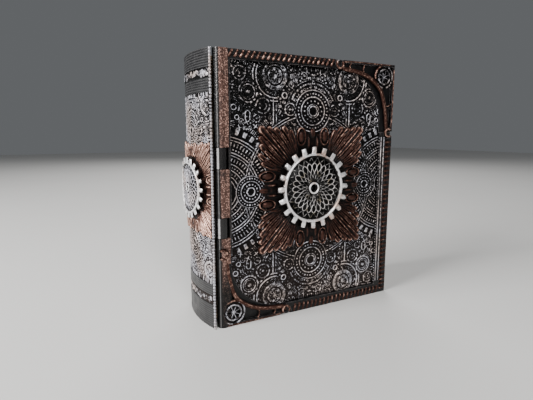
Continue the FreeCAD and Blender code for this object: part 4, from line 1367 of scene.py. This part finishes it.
# The bottom corner has only the lines and struts that keep clear of the hinge's barrel.
EDGE_LINES = (
    ((4.0, 0.75), (22.0, 0.75), (42.0, 0.8), (53.0, 1.6)),
    ((0.75, 4.0), (0.75, 22.0), (0.8, 42.0), (1.4, 52.0)),
)
STRUTS = (
    ((32.6, 9.0), (33.4, 5.4), (31.8, 1.4)),
    ((9.4, 33.4), (5.4, 34.0), (1.4, 31.8)),
    ((46.0, 6.6), (47.4, 4.2), (45.6, 1.6)),
)
WHEEL_AT = (11.5, 10.5)
WHEEL_RIM_R = 6.0
WHEEL_SPOKES = 8
COLLAR_R = 9.2
LINES_LOW, LINES_HIGH = 12.0, 140.0             # the thin beads beside the fore-edge rope


def corner_trim(at, at_top):
    """Band, eyelets, edge lines, struts and part of the wheel's collar. `at` places a point."""
    trim = Piece()
    for offset, half, w, tall, shine in ROLLS:
        path = smooth_path([at(p, w) for p in BAND])
        ahead = np.gradient(path, axis=0)
        ahead /= np.linalg.norm(ahead[:, :2], axis=1)[:, None]
        path = path + np.stack([ahead[:, 1], -ahead[:, 0], np.zeros(len(path))], axis=1) * offset
        sweep(trim, path, half, tall, high=shine)
    for point, facing in EYELETS:
        u, v, _ = at(point)
        facing -= 0 if at_top else 180
        ends = (facing - EYELET_HALF_ARC, facing + EYELET_HALF_ARC)
        sweep(trim, arc(u, v, EYELET_R, *ends, 36, -1.2), 1.0, 1.1, 10)
        bump_button(trim, u, v, 0.9, -2.8, -1.6)
    for line in EDGE_LINES if at_top else EDGE_LINES[:1]:
        sweep(trim, smooth_path([at(p, -0.8) for p in line], 6), 0.55, 0.6, high=0.95)
    for strut in STRUTS if at_top else STRUTS[::2]:
        sweep(trim, smooth_path([at(p, -1.6) for p in strut], 8), 0.5, 0.7)
    u, v, _ = at(WHEEL_AT)
    start, end = (105, 190) if at_top else (70, 140)
    sweep(trim, arc(u, v, COLLAR_R, start, end, 24, -1.2), 0.85, 0.9)
    return trim


def corner_wheel(u, v):
    """A spoked wheel in the rest of its broken collar."""
    wheel = Piece()
    for start, end in ((-75, 60), (215, 262)):
        sweep(wheel, arc(u, v, COLLAR_R - 0.3, start, end, 30, -1.2), 0.8, 0.9, high=0.72)
    hoop(wheel, u, v, WHEEL_RIM_R, -0.9, 0.75, 0.8, 10, 48, high=0.66)
    hoop(wheel, u, v, WHEEL_RIM_R + 1.3, -2.0, 0.5, 0.5, 6, 48, high=0.3)
    for i in range(WHEEL_SPOKES):
        c, s = polar(TURN * i / WHEEL_SPOKES + TURN / 16)
        ends = [(u + r * c, v + r * s, -1.2) for r in (1.0, WHEEL_RIM_R - 0.2)]
        sweep(wheel, ends, 0.40, 0.6, 6, high=0.75)
    bump_button(wheel, u, v, 1.5, -2.0, -0.3, 16)
    return wheel


def corner(side, end, place, body):
    """The copper ornament and the silver wheel of a cover's top outer or bottom hinge corner."""
    hinge_side = box_mm("cover_knuckle_bottom")[0][0]
    at_top = end == "top"

    def at(point, w=0.0):
        if at_top:
            return (COVER_HIGH[0] - point[0], COVER_HIGH[2] - point[1], w)
        return (hinge_side + point[0], point[1], w)

    name = f"{side}corner_{end}"
    trim_node, wheel_node = f"{side}corner_ornament_{end}", f"{side}corner_wheel_{end}"
    corner_trim(at, at_top).build(name + "_trim", place, COPPER, body, (trim_node,))
    wheel_u, wheel_v, _ = at(WHEEL_AT)
    corner_wheel(wheel_u, wheel_v).build(name + "_wheel", place, RUBBED, body, (wheel_node,))


def cover_lines(name, place, body):
    """Two thin silver beads and a row of dots up the frame, beside the fore-edge rope."""
    piece = Piece()
    right = COVER_HIGH[0]
    for inset, half in ((8.6, 0.55), (11.6, 0.6)):
        path = [(right - inset, v, -0.95) for v in (LINES_LOW, 60.0, 100.0, LINES_HIGH)]
        sweep(piece, path, half, 0.6, high=0.82)
    for v in np.arange(LINES_LOW, LINES_HIGH, 2.4):
        bump_button(piece, right - 13.4, v, 0.55, -1.6, -0.8, 8, 2)
    piece.build(name, place, RUBBED, body)


# ---------------------------------------------------------------- hinge and spine trim

BAND_STEP = 0.3
HINGE_BEADS = 7
BEAD_PITCH = 2.2
NOTCH_PITCH = 2.2          # of the bright strip up the spine's edge

def rough_bands():
    """Coarse silver bands round the spine, above and below its relief."""
    node = "spine_bands_silver"
    low, high = box_mm(node)
    heights = ((low[2], low[2] + BAND_HEIGHTS[0]), (high[2] - BAND_HEIGHTS[1], high[2]))
    front, back = arc_to(low[1], SPINE_R), arc_to(high[1], SPINE_R + 1.5)
    random = np.random.default_rng(3)
    for name, (v0, v1) in zip(("lower", "upper"), heights):
        u, v = np.meshgrid(
            np.arange(front, back, BAND_STEP), np.arange(v0, v1 + BAND_STEP / 2, BAND_STEP)
        )
        grain, lumps = random.random(u.shape), random.random(u.shape)
        grain, lumps = stretched(blur(grain, 1)), stretched(blur(lumps, 3))
        edge = np.minimum(v - v0, v1 - v)
        lip = np.clip(edge / 0.8, 0, 1)
        w = 0.30 + lip * (0.15 + 0.45 * grain + 0.55 * lumps)
        ragged = np.clip(0.5 + (edge - 1.5 + 3.2 * (lumps - 0.5)) / 1.5, 0.1, 1)
        rub = np.clip(1.5 * (grain - 0.5) + 1.5 * (lumps - 0.5) + 0.50, 0, 1) * ragged
        grid = shown_grid(u, v, w, rub, np.ones_like(w, bool))
        build_sheet("spine_band_" + name, grid, -0.2, on_spine, RUBBED, "case", (node,))


def hinge_beads():
    """A short bead moulding in the middle of the central knuckle."""
    low, high = box_mm("cover_knuckle_middle")
    u = (low[0] + high[0]) / 2 - 0.4
    piece = Piece()
    for i in range(HINGE_BEADS):
        v = (low[2] + high[2]) / 2 + (i - HINGE_BEADS // 2) * BEAD_PITCH
        bump_button(piece, u, v, 0.8, -1.0, -0.05, 10, 3)
    piece.build("hinge_beads", on_front, COPPER, "cover")


def spine_strip():
    """The bright notched strip up the spine's front edge."""
    low, high = box_mm("spine_edge_strip")
    middle, half = (low[0] + high[0]) / 2, (high[0] - low[0]) / 2
    outer, inner = FRONT_PLANE - low[1], FRONT_PLANE - high[1]
    depth, w = (outer - inner) / 2, (outer + inner) / 2
    piece = Piece()
    core = [(middle, v, w - 0.1) for v in (low[2] + 0.2, high[2] - 0.2)]
    sweep(piece, core, half * 0.9, depth * 0.8, low=0.2, high=0.7)
    count = int((high[2] - low[2]) / NOTCH_PITCH)
    spacing = (high[2] - low[2]) / count
    for i in range(count):
        v = low[2] + spacing * (i + 0.5)
        path = [(low[0] + 0.02 + t * (2 * half - 0.04), v, w) for t in (0.0, 0.5, 1.0)]
        sweep(piece, path, spacing * 0.36, depth - 0.02, low=0.3)
    piece.build("spine_edge_teeth", on_front, RUBBED, "case", ("spine_edge_strip",))


# ---------------------------------------------------------------- code rings

DIGIT_TALL = 8.6
DIGIT_HALF_DEPTH = 0.28
DIGIT_SINK = 0.12          # how far a digit's middle lies under the radius that it is bent to


def digit_mesh(digit):
    """A raised digit in millimetres, still flat and centred on its own origin."""
    curve = bpy.data.curves.new("digit", "FONT")
    curve.body = str(digit)
    curve.size = DIGIT_TALL
    curve.extrude = DIGIT_HALF_DEPTH
    curve.bevel_depth = 0.05
    curve.resolution_u = 4
    curve.align_x = "CENTER"
    curve.align_y = "CENTER"
    item = bpy.data.objects.new("digit", curve)
    mesh = bpy.data.meshes.new_from_object(item)
    bpy.data.objects.remove(item)
    return mesh


def ring_digits(index):
    """Ten raised digits round a code ring, between its finger grooves."""
    low, high = box_mm(f"code_ring_{index}")
    middle = (low + high) / 2
    radius = (high[1] - low[1]) / 2 + 0.04
    work = bmesh.new()
    for digit in range(10):
        flat = digit_mesh(digit)
        start = len(work.verts)
        work.from_mesh(flat)
        work.verts.ensure_lookup_table()
        for vert in work.verts[start:]:
            x, y, z = vert.co
            c, s = polar(TURN * digit / 10 + x / radius, radius - DIGIT_SINK + z)
            vert.co = [(centre + off) * MM for centre, off in zip(middle, (c, s, y))]
        bpy.data.meshes.remove(flat)
    mesh = bpy.data.meshes.new(f"ring_{index}_digits")
    work.to_mesh(mesh)
    work.free()
    new_object(f"ring_{index}_digits", mesh, DIGITS, f"ring_{index}")


# ---------------------------------------------------------------- stage

LIGHTS = (                 # name, place in metres, power in watts and size
    ("window", (-1.2, -0.10, 0.75), 34, 0.6),
    ("front", (-0.30, -1.20, 1.0), 15, 0.5),
    ("back", (0.6, 1.2, 1.1), 14, 1.0),
)
LIGHTS_AIM = (0, 0, 0.1)
SKY = (0.62, 0.65, 0.68, 1)
SKY_STRENGTH = 0.20
# The camera was fitted to the cover's corners in the photo.
CAMERA_AT = (-0.17257, -0.29267, 0.14284)
CAMERA_YAW, CAMERA_PITCH = math.radians(27.46), math.radians(9.31)
LENS, SENSOR = 27.26, 36.0


def turned_to(item, ahead):
    """Point a light or camera along a direction and put it in the scene."""
    item.rotation_euler = ahead.to_track_quat("-Z", "Y").to_euler()
    bpy.context.scene.collection.objects.link(item)


def stage():
    """A pale floor and soft lights."""
    bpy.ops.mesh.primitive_plane_add(size=6)
    floor = bpy.context.object
    floor.name = "floor"
    paint = Paint("floor")
    colour = paint.mix(paint.noise(4, 2), (0.62, 0.61, 0.59), (0.66, 0.65, 0.63))
    paint.feed(paint.shader.inputs["Base Color"], colour)
    paint.feed(paint.shader.inputs["Roughness"], 0.7)
    floor.data.materials.append(paint.material)
    world = bpy.data.worlds.new("World")
    world.use_nodes = True
    world.node_tree.nodes["Background"].inputs["Color"].default_value = SKY
    world.node_tree.nodes["Background"].inputs["Strength"].default_value = SKY_STRENGTH
    bpy.context.scene.world = world
    for name, place, power, size in LIGHTS:
        light = bpy.data.lights.new(name, "AREA")
        light.energy = power
        light.size = size
        item = bpy.data.objects.new(name, light)
        item.location = place
        turned_to(item, Vector(LIGHTS_AIM) - Vector(place))


def camera():
    """The view from the front left, a little above the book."""
    lens = bpy.data.cameras.new("camera")
    lens.sensor_width = SENSOR
    lens.lens = LENS
    lens.clip_start = 0.01
    item = bpy.data.objects.new("camera", lens)
    item.location = CAMERA_AT
    north, east = polar(CAMERA_YAW, math.cos(CAMERA_PITCH))
    turned_to(item, Vector((east, north, -math.sin(CAMERA_PITCH))))
    bpy.context.scene.camera = item


# ---------------------------------------------------------------- build

finish_cad_nodes()
stage()
camera()
pattern = clockwork(True)
relief_panel("clockwork", pattern, on_front, "cover", "cover_relief")
relief_panel("back_clockwork", clockwork(False), on_back, "case", "back_relief")
spine_panel(pattern)
medallion()
spine_medallion()
for side, place_on, body_name in (("", on_front, "cover"), ("back_", on_back, "case")):
    # each edge's rope has its own shine as painted light: brightest along the top, darkest up the
    # fore-edge side
    for edge, slant, shine in (("top", 0.85, 1.08), ("bottom", -0.35, 0.94), ("side", 0.15, 0.88)):
        rope(f"{side}rope_{edge}", f"{side}rope_rim_{edge}", place_on, body_name, slant, shine)
    for end in ("top", "bottom"):
        corner(side, end, place_on, body_name)
    cover_lines(side + "frame_lines", place_on, body_name)
hinge_beads()
rough_bands()
spine_strip()
for index in range(1, 6):
    ring_digits(index)
